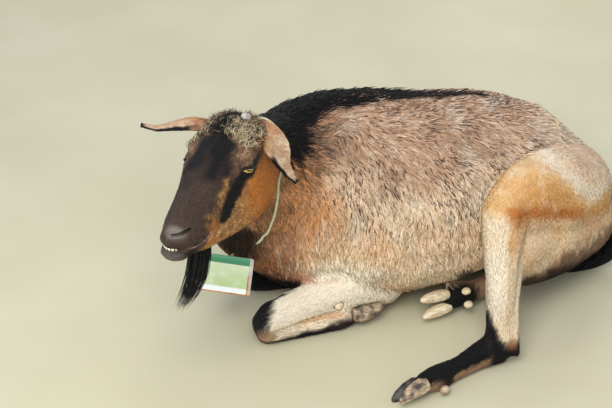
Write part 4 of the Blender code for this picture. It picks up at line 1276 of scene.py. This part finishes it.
def add_coat(name, mesh, slot="coat"):
    """Adds a mesh of tufts as a piece and returns its number of triangles."""
    piece = add_object(name, mesh, coat_material)
    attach(piece, "root")
    if slot == "beard_hair":
        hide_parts("beard")
    return len(mesh.polygons)


print(
    "search tree over", len(skin_triangles), "triangles of skin; coat finish:", len(tuft_finish.nodes),
    "nodes",
)

# %% [markdown]
# Roots are scattered over the skin's triangles by area. From each root a path creeps over the skin the
# way the hair lies. The numbers come from a seeded dice, so the coat is the same each time.

# %% Scatter the roots
corner_points = skin_points[skin_triangles]
edges = corner_points[:, 1:] - corner_points[:, :1]
triangle_area = np.linalg.norm(np.cross(edges[:, 0], edges[:, 1]), axis=1) / 2
triangle_middle = corner_points.mean(axis=1)
triangle_normal = skin_normals[skin_triangles].mean(axis=1)
triangle_region = skin_region[skin_triangles[:, 0]]
triangle_bare = bareness[skin_triangles].max(axis=1)
resting = (triangle_middle[:, 2] < 0.0025) & (triangle_normal[:, 2] < -0.4)  # lies on the floor
furry = ~resting & (triangle_bare < 0.45)
ROOT_DEPTH = 0.0003


class Roots:
    """Root points with everything that a tuft needs to know about its place."""

    def __init__(self, chosen, per_square_metre):
        weight = np.where(chosen & furry, triangle_area, 0)
        if not np.isscalar(per_square_metre):
            weight = weight * per_square_metre
            count = int(weight.sum())
        else:
            count = int(weight.sum() * per_square_metre)
        ladder = np.cumsum(weight)
        pick = np.searchsorted(ladder, (np.arange(count) + dice.random(count)) / count * ladder[-1])
        pick = np.minimum(pick, len(weight) - 1)
        a, b = dice.random(count), dice.random(count)
        fold = a + b > 1
        a, b = np.where(fold, 1 - a, a), np.where(fold, 1 - b, b)
        share = np.stack([1 - a - b, a, b], axis=1)
        tri = skin_triangles[pick]
        self.count = count
        self.points = (skin_points[tri] * share[:, :, None]).sum(axis=1)
        self.normals = unit((skin_normals[tri] * share[:, :, None]).sum(axis=1))
        lie = (skin_lie[tri] * share[:, :, None]).sum(axis=1)
        self.lie = unit(lie - self.normals * (lie * self.normals).sum(axis=1, keepdims=True))
        self.uv = (skin_corner_uv[pick] * share[:, :, None]).sum(axis=1)
        self.region = triangle_region[pick]
        self.colours = coat_colours(self.points, self.region)

    def swing(self, degrees):
        """Turns each hair's lie by a random angle within its patch of skin."""
        turn = np.radians(dice.normal(0, degrees, self.count))[:, None]
        side = np.cross(self.normals, self.lie)
        return unit(self.lie * np.cos(turn) + side * np.sin(turn))

    def speckled(self, spread, dark_share, dark):
        """Root colours varied from tuft to tuft, some of them dark ticks."""
        light = dice.normal(1.0, spread, self.count)
        light = np.where(dice.random(self.count) < dark_share, dark, light)
        return self.colours * np.clip(light, 0.2, 1.5)[:, None]


def on_skin(points):
    """The nearest skin point and its normal for each point."""
    found = [skin_tree.find_nearest(Vector(p)) for p in points]
    return np.array([f[0] for f in found]), np.array([f[1] for f in found])


def lay_tufts(roots, length, heights, sway):
    """Paths that run over the skin from each root, at rising heights above it."""
    ahead = roots.swing(sway)
    steps = len(heights)
    paths = [roots.points - roots.normals * ROOT_DEPTH]
    place, way = roots.points, ahead
    for height in heights:
        place, normal = on_skin(place + way * (length / steps)[:, None])
        way = unit(way - normal * (way * normal).sum(axis=1, keepdims=True))
        paths.append(place + normal * height[:, None])
    paths = np.stack(paths, axis=1)
    paths[:, :, 2] = np.maximum(paths[:, :, 2], ON_FLOOR)
    return paths, np.cross(roots.normals, ahead)


PIECE_LIMIT = 190000  # triangles


def grow(name, chosen, density, length, width, heights, sway, spread, dark_share=0.0, dark=0.45, shade=None):
    """Covers part of the skin with tufts, in as many pieces as its triangle count needs."""
    roots = Roots(chosen, density)
    long = length * dice.uniform(0.75, 1.25, roots.count)
    wide = width * dice.uniform(0.8, 1.2, roots.count)
    lifts = [h * dice.uniform(0.6, 1.35, roots.count) for h in heights]
    paths, across = lay_tufts(roots, long, lifts, sway)
    if shade is not None:
        roots.colours = np.tile(shade, (roots.count, 1))
    colours = roots.speckled(spread, dark_share, dark)
    per = 4 + 6 * (len(heights) - 1)
    parts = math.ceil(roots.count * per / PIECE_LIMIT)
    order = np.argsort(roots.points[:, 0], kind="stable")
    for part, rows in enumerate(np.array_split(order, parts)):
        label = name if parts == 1 else f"{name}_{part + 1}"
        mesh = tuft_mesh(label, paths[rows], across[rows], wide[rows], colours[rows], roots.uv[rows])
        add_coat(label, mesh)
    print(name, roots.count, "tufts,", roots.count * per, "triangles")
    return roots.count * per


print("skin area:", round(float(triangle_area[furry].sum()), 3), "square metres")

# %% [markdown]
# Each area has its own hair, thickest on the face and legs, where tufts are small. A table gives the
# name, the triangles and the tufts per square metre, then a tuft's length, its width and the heights of
# its steps. The last numbers are how many degrees it sways, how much its lightness varies, the share of
# dark tufts, how dark they are, and a colour of their own.

# %% Coat areas
thick = 0.65
head_places = in_head(triangle_middle)
crown = smooth(-head_places[:, 0], -0.085, -0.055) * smooth(head_places[:, 2], -0.05, -0.02)
face = triangle_region == HEAD
nubs = np.min([np.linalg.norm(head_places - (0.011, y, 0.0), axis=1) for y in (0.02, -0.026)], axis=0)
on_trunk = triangle_region == TRUNK
middle_x, _, middle_z = triangle_middle.T
off_floor = on_trunk & (middle_z > 0.012)
flank = smooth(middle_z, 0.17, 0.22) * smooth(-middle_x, -0.27, -0.2) * smooth(middle_x, -0.18, -0.13)
flank = np.where(on_trunk, flank, 0) * flecks(triangle_middle, 0.035, 51, 0.25, 0.6)
flank = flank * (0.3 + smooth(triangle_normal[:, 2], -0.1, 0.35))
on_legs = np.isin(triangle_region, LEGS)
on_ears = np.isin(triangle_region, EARS)
AREAS = (
    ("trunk_coat", off_floor, 82000 * thick, 0.021, 0.0017, (0.0017, 0.0025), 10, 0.1, 0.05, 0.55),
    ("neck_coat", triangle_region == NECK, 100000 * thick, 0.023, 0.0017, (0.0022, 0.0034), 13, 0.14, 0.06),
    ("tail_coat", triangle_region == TAIL, 120000 * thick, 0.03, 0.0018, (0.0034, 0.0042), 10, 0.2),
    ("flank_ticks", on_trunk, 12000 * flank, 0.012, 0.0019, (0.003, 0.0026), 14, 0.35, 0, 0.45, TICK_LOCK),
    ("leg_coat", on_legs, 200000 * thick, 0.01, 0.0012, (0.0013,), 9, 0.09, 0.02, 0.7),
    ("ear_hair", on_ears, 330000 * thick, 0.0055, 0.0008, (0.0008,), 10, 0.12),
    ("face_hair", face & (crown < 0.5), 430000 * thick, 0.0062, 0.00085, (0.0011,), 12, 0.15, 0.05),
    ("crown_hair", face & (crown >= 0.5), 260000 * thick, 0.0095, 0.0011, (0.003,), 25, 0.2, 0.1),
    ("nub_hair", face & (nubs < 0.022), 190000 * thick, 0.015, 0.0013, (0.007, 0.012), 45, 0.25, 0.25, 0.3),
)
coat_total = sum(grow(*area) for area in AREAS)
print("coat so far:", coat_total, "triangles")

# %% [markdown]
# ## Back and nape
# Along the spine and the top of the neck the hair is longer and stands a little, and it is black. These
# locks are laid over the short coat with three rings each.

# %% Long hair of the back
black_hair = skin_colour[skin_triangles].mean(axis=(1, 2)) < 0.012
mane = black_hair & np.isin(triangle_region, (TRUNK, NECK)) & (middle_z > 0.26)
coat_total += grow("mane_hair", mane, 26000 * thick, 0.032, 0.0021, (0.0032, 0.0048, 0.0056), 13, 0.22)
print("coat:", coat_total, "triangles")

# %% [markdown]
# ## Curls on the forehead
# Between the horn nubs the goat has two mats of curly hair, cream and grey over black. Each curl is a lock
# with six rings whose path swings from side to side like a wave while it creeps over the skin.

# %% Forehead curls
LOCK_STEPS = 6
CURL_TURN = 7.5  # how far round its wave a curl goes, in radians
down_face, to_left, off_face = head_places.T
curly = face & (down_face < 0.066 + 0.28 * np.abs(to_left)) & (down_face > -0.012) & (off_face > -0.027)
curly &= (to_left < 0.047) & (to_left > -0.056)
roots = Roots(curly, 170000 * thick)
ahead = roots.swing(38)
sideways = np.cross(roots.normals, ahead)
length = dice.uniform(0.013, 0.022, roots.count)
phase = dice.uniform(0, 6.28, roots.count)
swing_width = dice.uniform(0.0006, 0.002, roots.count)
curl_paths = [roots.points]
for step in range(1, LOCK_STEPS + 1):
    share = step / LOCK_STEPS
    bend = phase + share * CURL_TURN
    swung = (swing_width * (np.sin(bend) - np.sin(phase)))[:, None]
    seat, out = on_skin(roots.points + ahead * (length * share)[:, None] + sideways * swung)
    lift = 0.0016 + 0.004 * math.sin(math.pi * share * 0.8) + 0.0012 * np.cos(bend)
    curl_paths.append(seat + out * lift[:, None])
curl_paths = np.stack(curl_paths, axis=1)
down_face, to_left, _ = in_head(roots.points).T
pale = smooth(np.abs(to_left + 0.01) + dice.normal(0, 0.004, roots.count), 0.008, 0.015)
patchy = soft_noise(roots.points, 0.01, 21) * 0.9 + dice.uniform(0, 0.6, roots.count)
pale *= patchy > np.where(to_left > 0, 0.52, 0.66)
pale *= smooth(0.072 - down_face + 0.45 * np.abs(to_left), 0, 0.01)
lightness = dice.uniform(0.45, 1.05, (roots.count, 1))
creamy = (dice.random(roots.count) > np.where(to_left > 0, 0.25, 0.6))[:, None]
pale_lock = lightness * np.where(creamy, CREAM_LOCK, BROWN_LOCK)
colours = BLACK * 1.2 * (1 - pale[:, None]) + pale_lock * pale[:, None]
colours = colours * dice.uniform(0.7, 1.2, roots.count)[:, None]
mesh = tuft_mesh("forehead_curls", curl_paths, sideways, np.full(roots.count, 0.0012), colours, roots.uv)
coat_total += add_coat("forehead_curls", mesh)
print("curls:", roots.count)

# %% [markdown]
# ## Beard
# The beard hangs from the chin in separate locks that end at different heights in thin wisps. Every lock
# keeps its own place in the bundle, drifts a little, and follows the bundle's bend to the tips.

# %% Beard
BEARD_LINE = np.array((  # from the chin down to the tip
    (-0.376, -0.2085, 0.318), (-0.381, -0.2125, 0.285), (-0.387, -0.2155, 0.254),
    (-0.399, -0.2195, 0.226), (-0.417, -0.2235, 0.198),
))
BEARD_WIDE = (0.0135, 0.0185, 0.0185, 0.015, 0.0095)  # the bundle's radius at those places
locks = int(430 * thick)
turn, out_of_middle = dice.uniform(0, 2 * math.pi, locks), np.sqrt(dice.random(locks))
beard_side, beard_front = unit(np.array((0.6, -0.8, 0))), unit(np.array((0.8, 0.6, 0)))
ends = np.clip(1 - 0.62 * dice.random(locks) ** 1.6 * (0.35 + out_of_middle), 0.35, 1.0)
drift = dice.normal(0, 0.003, (locks, 3)) * (1, 1, 0)
marks = np.linspace(0, 1, len(BEARD_LINE))
beard_paths = []
for step in range(LOCK_STEPS + 1):
    share = ends * step / LOCK_STEPS
    middle = np.stack([np.interp(share, marks, BEARD_LINE[:, k]) for k in range(3)], axis=1)
    wide = np.interp(share, marks, BEARD_WIDE) * out_of_middle
    ring = middle + beard_side * (wide * np.cos(turn))[:, None] * 1.05
    ring = ring + beard_front * (wide * np.sin(turn))[:, None]
    beard_paths.append(ring + drift * share[:, None] ** 2)
beard_paths = np.stack(beard_paths, axis=1)
beard_shade = np.where(dice.random(locks) < 0.045, 9.0, dice.uniform(0.6, 1.5, locks))
beard_colour = np.clip(BLACK * beard_shade[:, None], 0, 0.3)
chin = np.argmin(np.linalg.norm(triangle_middle - BEARD_LINE[0], axis=1))
chin_uv = np.tile(skin_corner_uv[chin].mean(axis=0), (locks, 1))
across = unit(dice.normal(0, 1, (locks, 3)) * (1, 1, 0.01))
wide = dice.uniform(0.0014, 0.0025, locks)
mesh = tuft_mesh("beard_locks", beard_paths, across, wide, beard_colour, chin_uv)
coat_total += add_coat("beard_locks", mesh, "beard_hair")
print("beard locks:", locks, "whole coat:", coat_total, "triangles")

# %% [markdown]
# ## Eyes
# A goat's eye is a wet ball with a yellow iris and a dark slot of a pupil that lies level. The ball is a
# sphere whose pattern is worked out from the direction on it, so it needs no map. Clear coat makes it wet.


# %% Eyes
CORNEA = 0.0008  # how far the clear front of the eye stands out
PUPIL_HALF = 0.26  # half the slot's length between its round ends, for a ball of radius 1


def store_places(mesh, name, places):
    """Keeps a place for each point of a mesh, for its material to work from."""
    layer = mesh.attributes.new(name, "FLOAT_VECTOR", "POINT")
    layer.data.foreach_set("vector", places.astype(np.float32).ravel())


def eye_piece(name, side):
    """An eyeball in its socket, whose material can tell the way to the pupil."""
    middle = EYE * (1, side, 1)
    gaze, along, over = eye_axes(side)
    turn = Matrix(np.stack([along, over * side, gaze], axis=1).tolist()).to_4x4()
    bm = bmesh.new()
    bmesh.ops.create_uvsphere(bm, u_segments=40, v_segments=28, radius=BALL)
    for vert in bm.verts:
        front = max(0.0, vert.co.z / BALL - 0.8) / 0.2
        vert.co += Vector((0, 0, 1)) * CORNEA * front
    seat = head_place @ Matrix.Translation(middle.tolist()) @ turn
    mesh = mesh_from(name, bm)
    local = mesh_points(mesh) / BALL
    mesh.transform(seat)
    store_places(mesh, "gaze", local)
    shade_smooth(mesh)
    return add_object(name, mesh)


wet = Finish("eye", roughness=0.12, coat_weight=1.0, coat_roughness=0.03, ior=1.4)
gaze_place = wet.attribute("gaze", "Vector")
gaze_x, gaze_y, _ = wet.split(gaze_place)
round_out = (gaze_x * gaze_x + gaze_y * gaze_y).maths("SQRT")
slot_x = (gaze_x.maths("ABSOLUTE") - PUPIL_HALF).maths("MAXIMUM", 0.0)
slot = (slot_x * slot_x + gaze_y * gaze_y).maths("SQRT")
pupil = 1 - slot.step(0.085, 0.125)
rays = wet.noise(9.0, 4.0, wet.node("ShaderNodeVectorMath", {"operation": "NORMALIZE"}, {0: gaze_place}))
iris = wet.mix(rays.step(0.3, 0.7), (0.52, 0.33, 0.05), (0.78, 0.6, 0.16))
iris = wet.mix(round_out.step(0.5, 0.78), iris, (0.2, 0.1, 0.03))
iris = wet.mix(round_out.step(0.8, 0.86), iris, (0.02, 0.015, 0.012))
wet_eye = wet.finish(base_color=wet.mix(pupil, iris, (0.006, 0.006, 0.008)), roughness=0.1 + rays * 0.08)
for name, side in (("eye_left", 1), ("eye_right", -1)):
    ball = eye_piece(f"{name}_ball", side)
    ball.data.materials.append(wet_eye)
    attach(ball, "root")
    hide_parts(name)
print("eyeball:", round(BALL * 2000, 1), "mm across")

# %% [markdown]
# ## Lower front teeth
# Goats have eight lower incisors in a curved row and none above. Each is a small wedge with rounded
# corners: a cube, narrowed towards the root and bevelled.

# %% Teeth
ivory = Finish("tooth", roughness=0.22, coat_weight=0.5, coat_roughness=0.1, ior=1.55)
stain = ivory.noise(700.0, 3.0)
tooth_finish = ivory.finish(
    base_color=ivory.mix(stain.step(0.35, 0.8), (0.86, 0.82, 0.7), (0.62, 0.52, 0.36)),
    normal=ivory.bump(ivory.noise(1500.0, 2.0, ivory.stretched((1, 1, 0.2))), 0.0002, 0.4),
)
DEEP, ROOT_WIDE, EDGE_WIDE, HIGH = 0.002, 0.003, 0.0042, 0.0046  # a tooth's measures
JAW_X, JAW_Y, JAW_Z, JAW_CURVE = 0.243, -0.0135, -0.0658, 0.0185  # the row's middle and radius, on the head
TEETH, FANNED = 8, 17.5  # how many, and the degrees between two of them
row = bmesh.new()
for index in range(TEETH):
    bm = bmesh.new()
    bmesh.ops.create_cube(bm, size=1)
    for vert in bm.verts:
        wide = ROOT_WIDE if vert.co.z < 0 else EDGE_WIDE
        vert.co = Vector((vert.co.x * DEEP, vert.co.y * wide, vert.co.z * HIGH))
    bmesh.ops.bevel(bm, geom=bm.edges[:], offset=0.0006, segments=2, profile=0.5, affect="EDGES", material=-1)
    turn = math.radians((index - (TEETH - 1) / 2) * FANNED)
    place = (JAW_X + JAW_CURVE * math.cos(turn), JAW_Y + JAW_CURVE * math.sin(turn), JAW_Z)
    seat = Matrix.Translation(place) @ Matrix.Rotation(turn, 4, "Z")
    seat = head_place @ seat @ Matrix.Rotation(math.radians(10 + 2 * math.sin(index * 2.1)), 4, "Y")
    bmesh.ops.transform(bm, matrix=seat, verts=bm.verts)
    mesh = mesh_from("tooth", bm)
    row.from_mesh(mesh)
    bpy.data.meshes.remove(mesh)
teeth = add_object("front_teeth", mesh_from("front_teeth", row), tooth_finish)
shade_smooth(teeth.data)
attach(teeth, "root")
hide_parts("lower_teeth")
print("teeth faces:", len(teeth.data.polygons))

# %% [markdown]
# ## Horn, hooves and dew claws
# Claws and horn stubs grow in layers, so they show fine rings and worn tips. Their solids are already the
# right shape; a finer remesh rounds the corners, and a striped material does the rest. The horn stubs
# also sink a little into the hair, the right one more than the left.

# %% Hooves and horn
def claw_material(name, pale, deep, stained, stain_from):
    """Horn with streaks along the foot, rings across it and stains."""
    claw = Finish(name, roughness=0.5, coat_weight=0.12, coat_roughness=0.4, ior=1.5)
    streaks = claw.noise(300.0, 4.0, claw.stretched((0.22, 1, 1)))
    rings = claw.wave("X", 120.0, 4.0)
    stain = claw.noise(52.0, 3.0).step(stain_from, stain_from + 0.22)
    return claw.finish(
        base_color=claw.mix(stain, claw.mix(streaks.step(0.3, 0.72), deep, pale), stained),
        roughness=0.45 + streaks * 0.3,
        normal=claw.bump(rings * 0.5 + streaks, 0.0007, 0.8),
    )


claw_finish = claw_material("hoof", (0.8, 0.7, 0.5), (0.58, 0.46, 0.29), (0.22, 0.13, 0.06), 0.6)
brown_finish = claw_material("brown_hoof", (0.56, 0.44, 0.3), (0.26, 0.18, 0.11), (0.05, 0.035, 0.025), 0.46)
dark_finish = claw_material(
    "dark_hoof", (0.1, 0.085, 0.075), (0.03, 0.026, 0.025), (0.012, 0.011, 0.012), 0.4
)
nub = Finish("horn", roughness=0.6, coat_weight=0.05, ior=1.5)
flakes = nub.noise(420.0, 5.0)
nub_finish = nub.finish(
    base_color=nub.mix(flakes.step(0.3, 0.7), (0.2, 0.17, 0.15), (0.58, 0.54, 0.5)),
    roughness=0.5 + flakes * 0.35,
    normal=nub.bump(flakes, 0.0012, 0.8),
)
brown_nub = Finish("brown_horn", roughness=0.7, ior=1.5)
flakes = brown_nub.noise(500.0, 5.0)
brown_nub_finish = brown_nub.finish(
    base_color=brown_nub.mix(flakes.step(0.3, 0.7), (0.05, 0.035, 0.03), (0.2, 0.13, 0.1)), roughness=0.7
)


def rounded_copy(name, finish, voxel, sink=0.0):
    """A smooth piece in the place of a solid, sunk by a share of its height into the skin."""
    piece = remeshed(f"{name}_smooth", merged([name], 0.0003), voxel, 3)
    points = mesh_points(piece.data)
    if sink:
        points += (on_skin(points)[0] - points) * sink
    points[:, 2] = np.maximum(points[:, 2], 0.0)
    set_points(piece.data, points)
    shade_smooth(piece.data)
    piece.data.materials.clear()
    piece.data.materials.append(finish)
    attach(piece, "root")
    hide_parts(name)
    return len(piece.data.polygons)


CLAW_VOXEL, HORN_VOXEL = 0.0013, 0.001
BROWN_CLAWS = ("hoof_fore_left", "hoof_hind_left_b", "dew_claw_hind_left")
claws = [n for n in frame["nodes"] if n.startswith(("hoof", "dew_claw"))]
faces = 0
for name in claws:
    worn = brown_finish if name.startswith(BROWN_CLAWS) else claw_finish
    worn = dark_finish if name == "hoof_hind_left_a" else worn
    faces += rounded_copy(name, worn, CLAW_VOXEL)
faces += rounded_copy("horn_left", nub_finish, HORN_VOXEL, 0.3)
faces += rounded_copy("horn_right", brown_nub_finish, HORN_VOXEL, 0.4)
print("claws:", len(claws), "faces:", faces)

# %% [markdown]
# ## Neck cord
# The cord is a thin pale braid that lies in the hair all round the neck. A diagonal wave in its
# material gives the twist of the fibres, and worn patches are paler.

# %% Cord
braid = Finish("cord", roughness=0.7, sheen_weight=0.2, ior=1.45)
twist = braid.wave("DIAGONAL", 190.0, 1.5)
wear = braid.noise(60.0, 3.0)
cord_colour = braid.mix(wear.step(0.35, 0.75), (0.56, 0.58, 0.34), (0.72, 0.7, 0.48))
cord_finish = braid.finish(
    base_color=braid.mix(twist * 0.4, cord_colour, (0.34, 0.36, 0.17)),
    roughness=0.6 + wear * 0.25,
    normal=braid.bump(twist, 0.0005, 0.8),
)
print("cord finish:", len(braid.nodes), "nodes")

# %% [markdown]
# The route of the cord's solid is drawn as a closed curve, pulled onto the neck so that it lies on the
# hair at the side and sinks into it beside the throat. Three strands wind round that route like a real
# cord. A thin loop holds the card: out of the hair behind it, through a slot in it and back.

# %% Strands
CORD_ROUTE = np.array((
    (-0.246, -0.036, 0.404), (-0.236, -0.078, 0.375), (-0.235, -0.102, 0.322), (-0.235, -0.094, 0.271),
    (-0.242, -0.074, 0.217), (-0.251, -0.049, 0.174), (-0.276, -0.039, 0.154), (-0.305, -0.016, 0.146),
    (-0.322, 0.018, 0.152), (-0.312, 0.056, 0.182), (-0.3, 0.058, 0.24), (-0.296, 0.034, 0.305),
    (-0.276, 0.0, 0.37),
)) + MIDDLE
CARD_TOP = np.array((-0.3056, -0.0105, 0.1556))  # the middle of the card's upper edge
ON_HAIR, SINK = 0.0044, 0.0072  # the cord's height over the skin, and how much lower it lies when sunk
STRAND, LOOP, WIND = 0.00125, 0.001, 0.00115  # radii of a strand, of the loop and of the winding
TWIST_EVERY = 0.013


def closed_curve(points, count):
    """Points at even steps along a smooth closed curve through the given ones."""
    for _ in range(5):
        halved = np.empty((len(points) * 2, 3))
        halved[0::2] = points
        halved[1::2] = (points + np.roll(points, -1, axis=0)) / 2
        points = (np.roll(halved, 1, axis=0) + 2 * halved + np.roll(halved, -1, axis=0)) / 4
    steps = np.linalg.norm(np.roll(points, -1, axis=0) - points, axis=1)
    travel = np.concatenate([[0], np.cumsum(steps)])
    wanted = np.linspace(0, travel[-1], count, endpoint=False)
    looped = np.vstack([points, points[:1]])
    return np.stack([np.interp(wanted, travel, looped[:, k]) for k in range(3)], axis=1)


route = closed_curve(CORD_ROUTE, 180)
for _ in range(3):
    seat, out = on_skin(route)
    sunk = smooth(-route[:, 2], -0.182, -0.162) * smooth(-route[:, 1], -0.052, -0.036)
    route = seat + out * (ON_HAIR - SINK * sunk)[:, None]
    for _ in range(3):
        route = (np.roll(route, 1, axis=0) + 2 * route + np.roll(route, -1, axis=0)) / 4
route = closed_curve(route, 520)
ahead = unit(np.roll(route, -1, axis=0) - np.roll(route, 1, axis=0))
outwards = on_skin(route)[1]
outwards = unit(outwards - ahead * (outwards * ahead).sum(axis=1, keepdims=True))
beside = np.cross(ahead, outwards)
cord_length = np.linalg.norm(np.roll(route, -1, axis=0) - route, axis=1).sum()
turns = round(cord_length / TWIST_EVERY)
bundle = bmesh.new()


def add_strand(line, radius):
    """Adds a closed round strand along a line of points."""
    curve = bpy.data.curves.new("strand", "CURVE")
    curve.dimensions, curve.bevel_depth, curve.bevel_resolution = "3D", radius, 1
    spline = curve.splines.new("POLY")
    spline.points.add(len(line) - 1)
    spline.points.foreach_set("co", np.hstack([line, np.ones((len(line), 1))]).ravel())
    spline.use_cyclic_u = True
    made = bpy.data.objects.new("strand", curve)
    tube = bpy.data.meshes.new_from_object(made)
    bundle.from_mesh(tube)
    bpy.data.objects.remove(made)
    bpy.data.meshes.remove(tube)


for strand in range(3):
    angle = 2 * math.pi * (turns * np.arange(len(route)) / len(route) + strand / 3)
    wound = outwards * np.cos(angle)[:, None] + beside * np.sin(angle)[:, None]
    add_strand(route + WIND * wound, STRAND)
seat, out = on_skin(CARD_TOP[None] + (0.005, 0.025, -0.025))
tied = seat[0] - out[0] * 0.004
slack = (tied + CARD_TOP) / 2 - (0, 0, 0.008)
apart = unit(np.cross(CARD_TOP - tied, (0, 0, 1))) * 0.0022
in_slot = CARD_TOP - (0.0015, 0.0018, 0.0077)
loop = np.array((tied, slack + apart, in_slot + apart, in_slot - apart, slack - apart))
add_strand(closed_curve(loop, 60), LOOP)
bmesh.ops.recalc_face_normals(bundle, faces=bundle.faces[:])
cord = add_object("neck_cord_strands", mesh_from("neck_cord_strands", bundle), cord_finish)
shade_smooth(cord.data)
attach(cord, "root")
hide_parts("neck_cord")
print("cord", round(cord_length, 3), "m round the neck,", len(cord.data.polygons), "faces")

# %% [markdown]
# ## Name card
# A printed card in a clear sleeve hangs at the throat. The front has a green band, a pale green field and
# a white foot, and the sleeve's edge has worn to orange-brown. It carries no words. The slab is a bevelled
# box whose colours follow its own directions, stored on its points.

# %% Card
CARD_SIZE = (0.093, 0.066, 0.0022)
CARD_TILT = -6.5  # degrees that its upper edge is off the level
CARD_FACE = Vector((-0.25, -0.93, 0.27)).normalized()
card_corners = mesh_points(frame["nodes"]["name_card"].data)
card_middle = (card_corners.max(axis=0) + card_corners.min(axis=0)) / 2
level = Vector((0, 0, 1)).cross(CARD_FACE).normalized()
card_right = Matrix.Rotation(math.radians(CARD_TILT), 3, CARD_FACE) @ level
card_up = CARD_FACE.cross(card_right)
seat = Matrix((card_right, card_up, CARD_FACE)).transposed().to_4x4()
seat.translation = Vector(card_middle)


def rise(edge):
    return abs(edge.verts[0].co.z - edge.verts[1].co.z)


slab = bmesh.new()
bmesh.ops.create_cube(slab, size=1)
bmesh.ops.scale(slab, vec=CARD_SIZE, verts=slab.verts)
upright = [e for e in slab.edges if rise(e) > 0.001]
bmesh.ops.bevel(slab, geom=upright, offset=0.004, segments=4, profile=0.5, affect="EDGES", material=-1)
rim = [e for e in slab.edges if rise(e) < 0.0001 and len(e.link_faces) == 2 and e.calc_face_angle(0) > 0.5]
bmesh.ops.bevel(slab, geom=rim, offset=0.0006, segments=2, profile=0.5, affect="EDGES", material=-1)
mesh = mesh_from("card", slab)
flat = mesh_points(mesh) / CARD_SIZE
mesh.transform(seat)
store_places(mesh, "card_place", flat)
card = add_object("card", mesh)
print("card facing", tuple(round(v, 2) for v in CARD_FACE))

# %% [markdown]
# The print is laid in bands across the card's height, each over the last, from the foot to the green top.
# The worn edge lies below and at the right, ragged with noise.

# %% Print on the card
printed = Finish("card", roughness=0.3, coat_weight=0.8, coat_roughness=0.12, ior=1.45)
card_x, card_y, card_z = printed.split(printed.attribute("card_place", "Vector"))
blotch = printed.noise(70.0, 4.0)
field = printed.mix(card_y.step(-0.3, 0.3), (0.42, 0.56, 0.26), (0.6, 0.69, 0.46))
field = printed.mix(blotch.step(0.35, 0.8) * 0.35, field, (0.86, 0.9, 0.8))
field = printed.mix(card_y.step(0.285, 0.305), field, (0.036, 0.235, 0.105))
field = printed.mix(card_y.step(0.37, 0.5) * 0.5, field, (0.16, 0.42, 0.25))
field = printed.mix(1 - card_y.step(-0.335, -0.315), field, (0.8, 0.86, 0.86))
sleeve = printed.mix(blotch.step(0.3, 0.8), (0.42, 0.38, 0.34), (0.6, 0.56, 0.5))
field = printed.mix(card_x.step(0.425, 0.435), field, sleeve)
frayed = blotch * 0.03
lower_edge = 1 - (card_y + frayed).step(-0.452, -0.44)
right_edge = (card_x - frayed).step(0.405, 0.418) * (1 - (card_x + frayed).step(0.455, 0.475))
right_edge = right_edge * (1 - card_y.step(-0.05, 0.1))
rust = printed.mix(printed.noise(180.0, 3.0).step(0.3, 0.7), (0.3, 0.11, 0.02), (0.62, 0.26, 0.05))
field = printed.mix(lower_edge.maths("MAXIMUM", right_edge), field, rust)
back_of_card = card_z.step(-0.2, 0.1)
card.data.materials.append(printed.finish(
    base_color=printed.mix(back_of_card, (0.74, 0.74, 0.7), field),
    roughness=0.22 + blotch * 0.25,
    normal=printed.bump(blotch, 0.0008, 0.35),
))
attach(card, "root")
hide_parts("name_card")
print("card finish:", len(printed.nodes), "nodes")

# %% [markdown]
# ## Finish
# The model is closed by comparing its size with the solids: the coat must not make the goat bigger.

# %% Finish
visual_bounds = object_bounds()
growth = (np.array(visual_bounds) - np.array(solid_bounds)) * 1000
print("growth in mm, low and high corner:", growth.round(1).tolist())
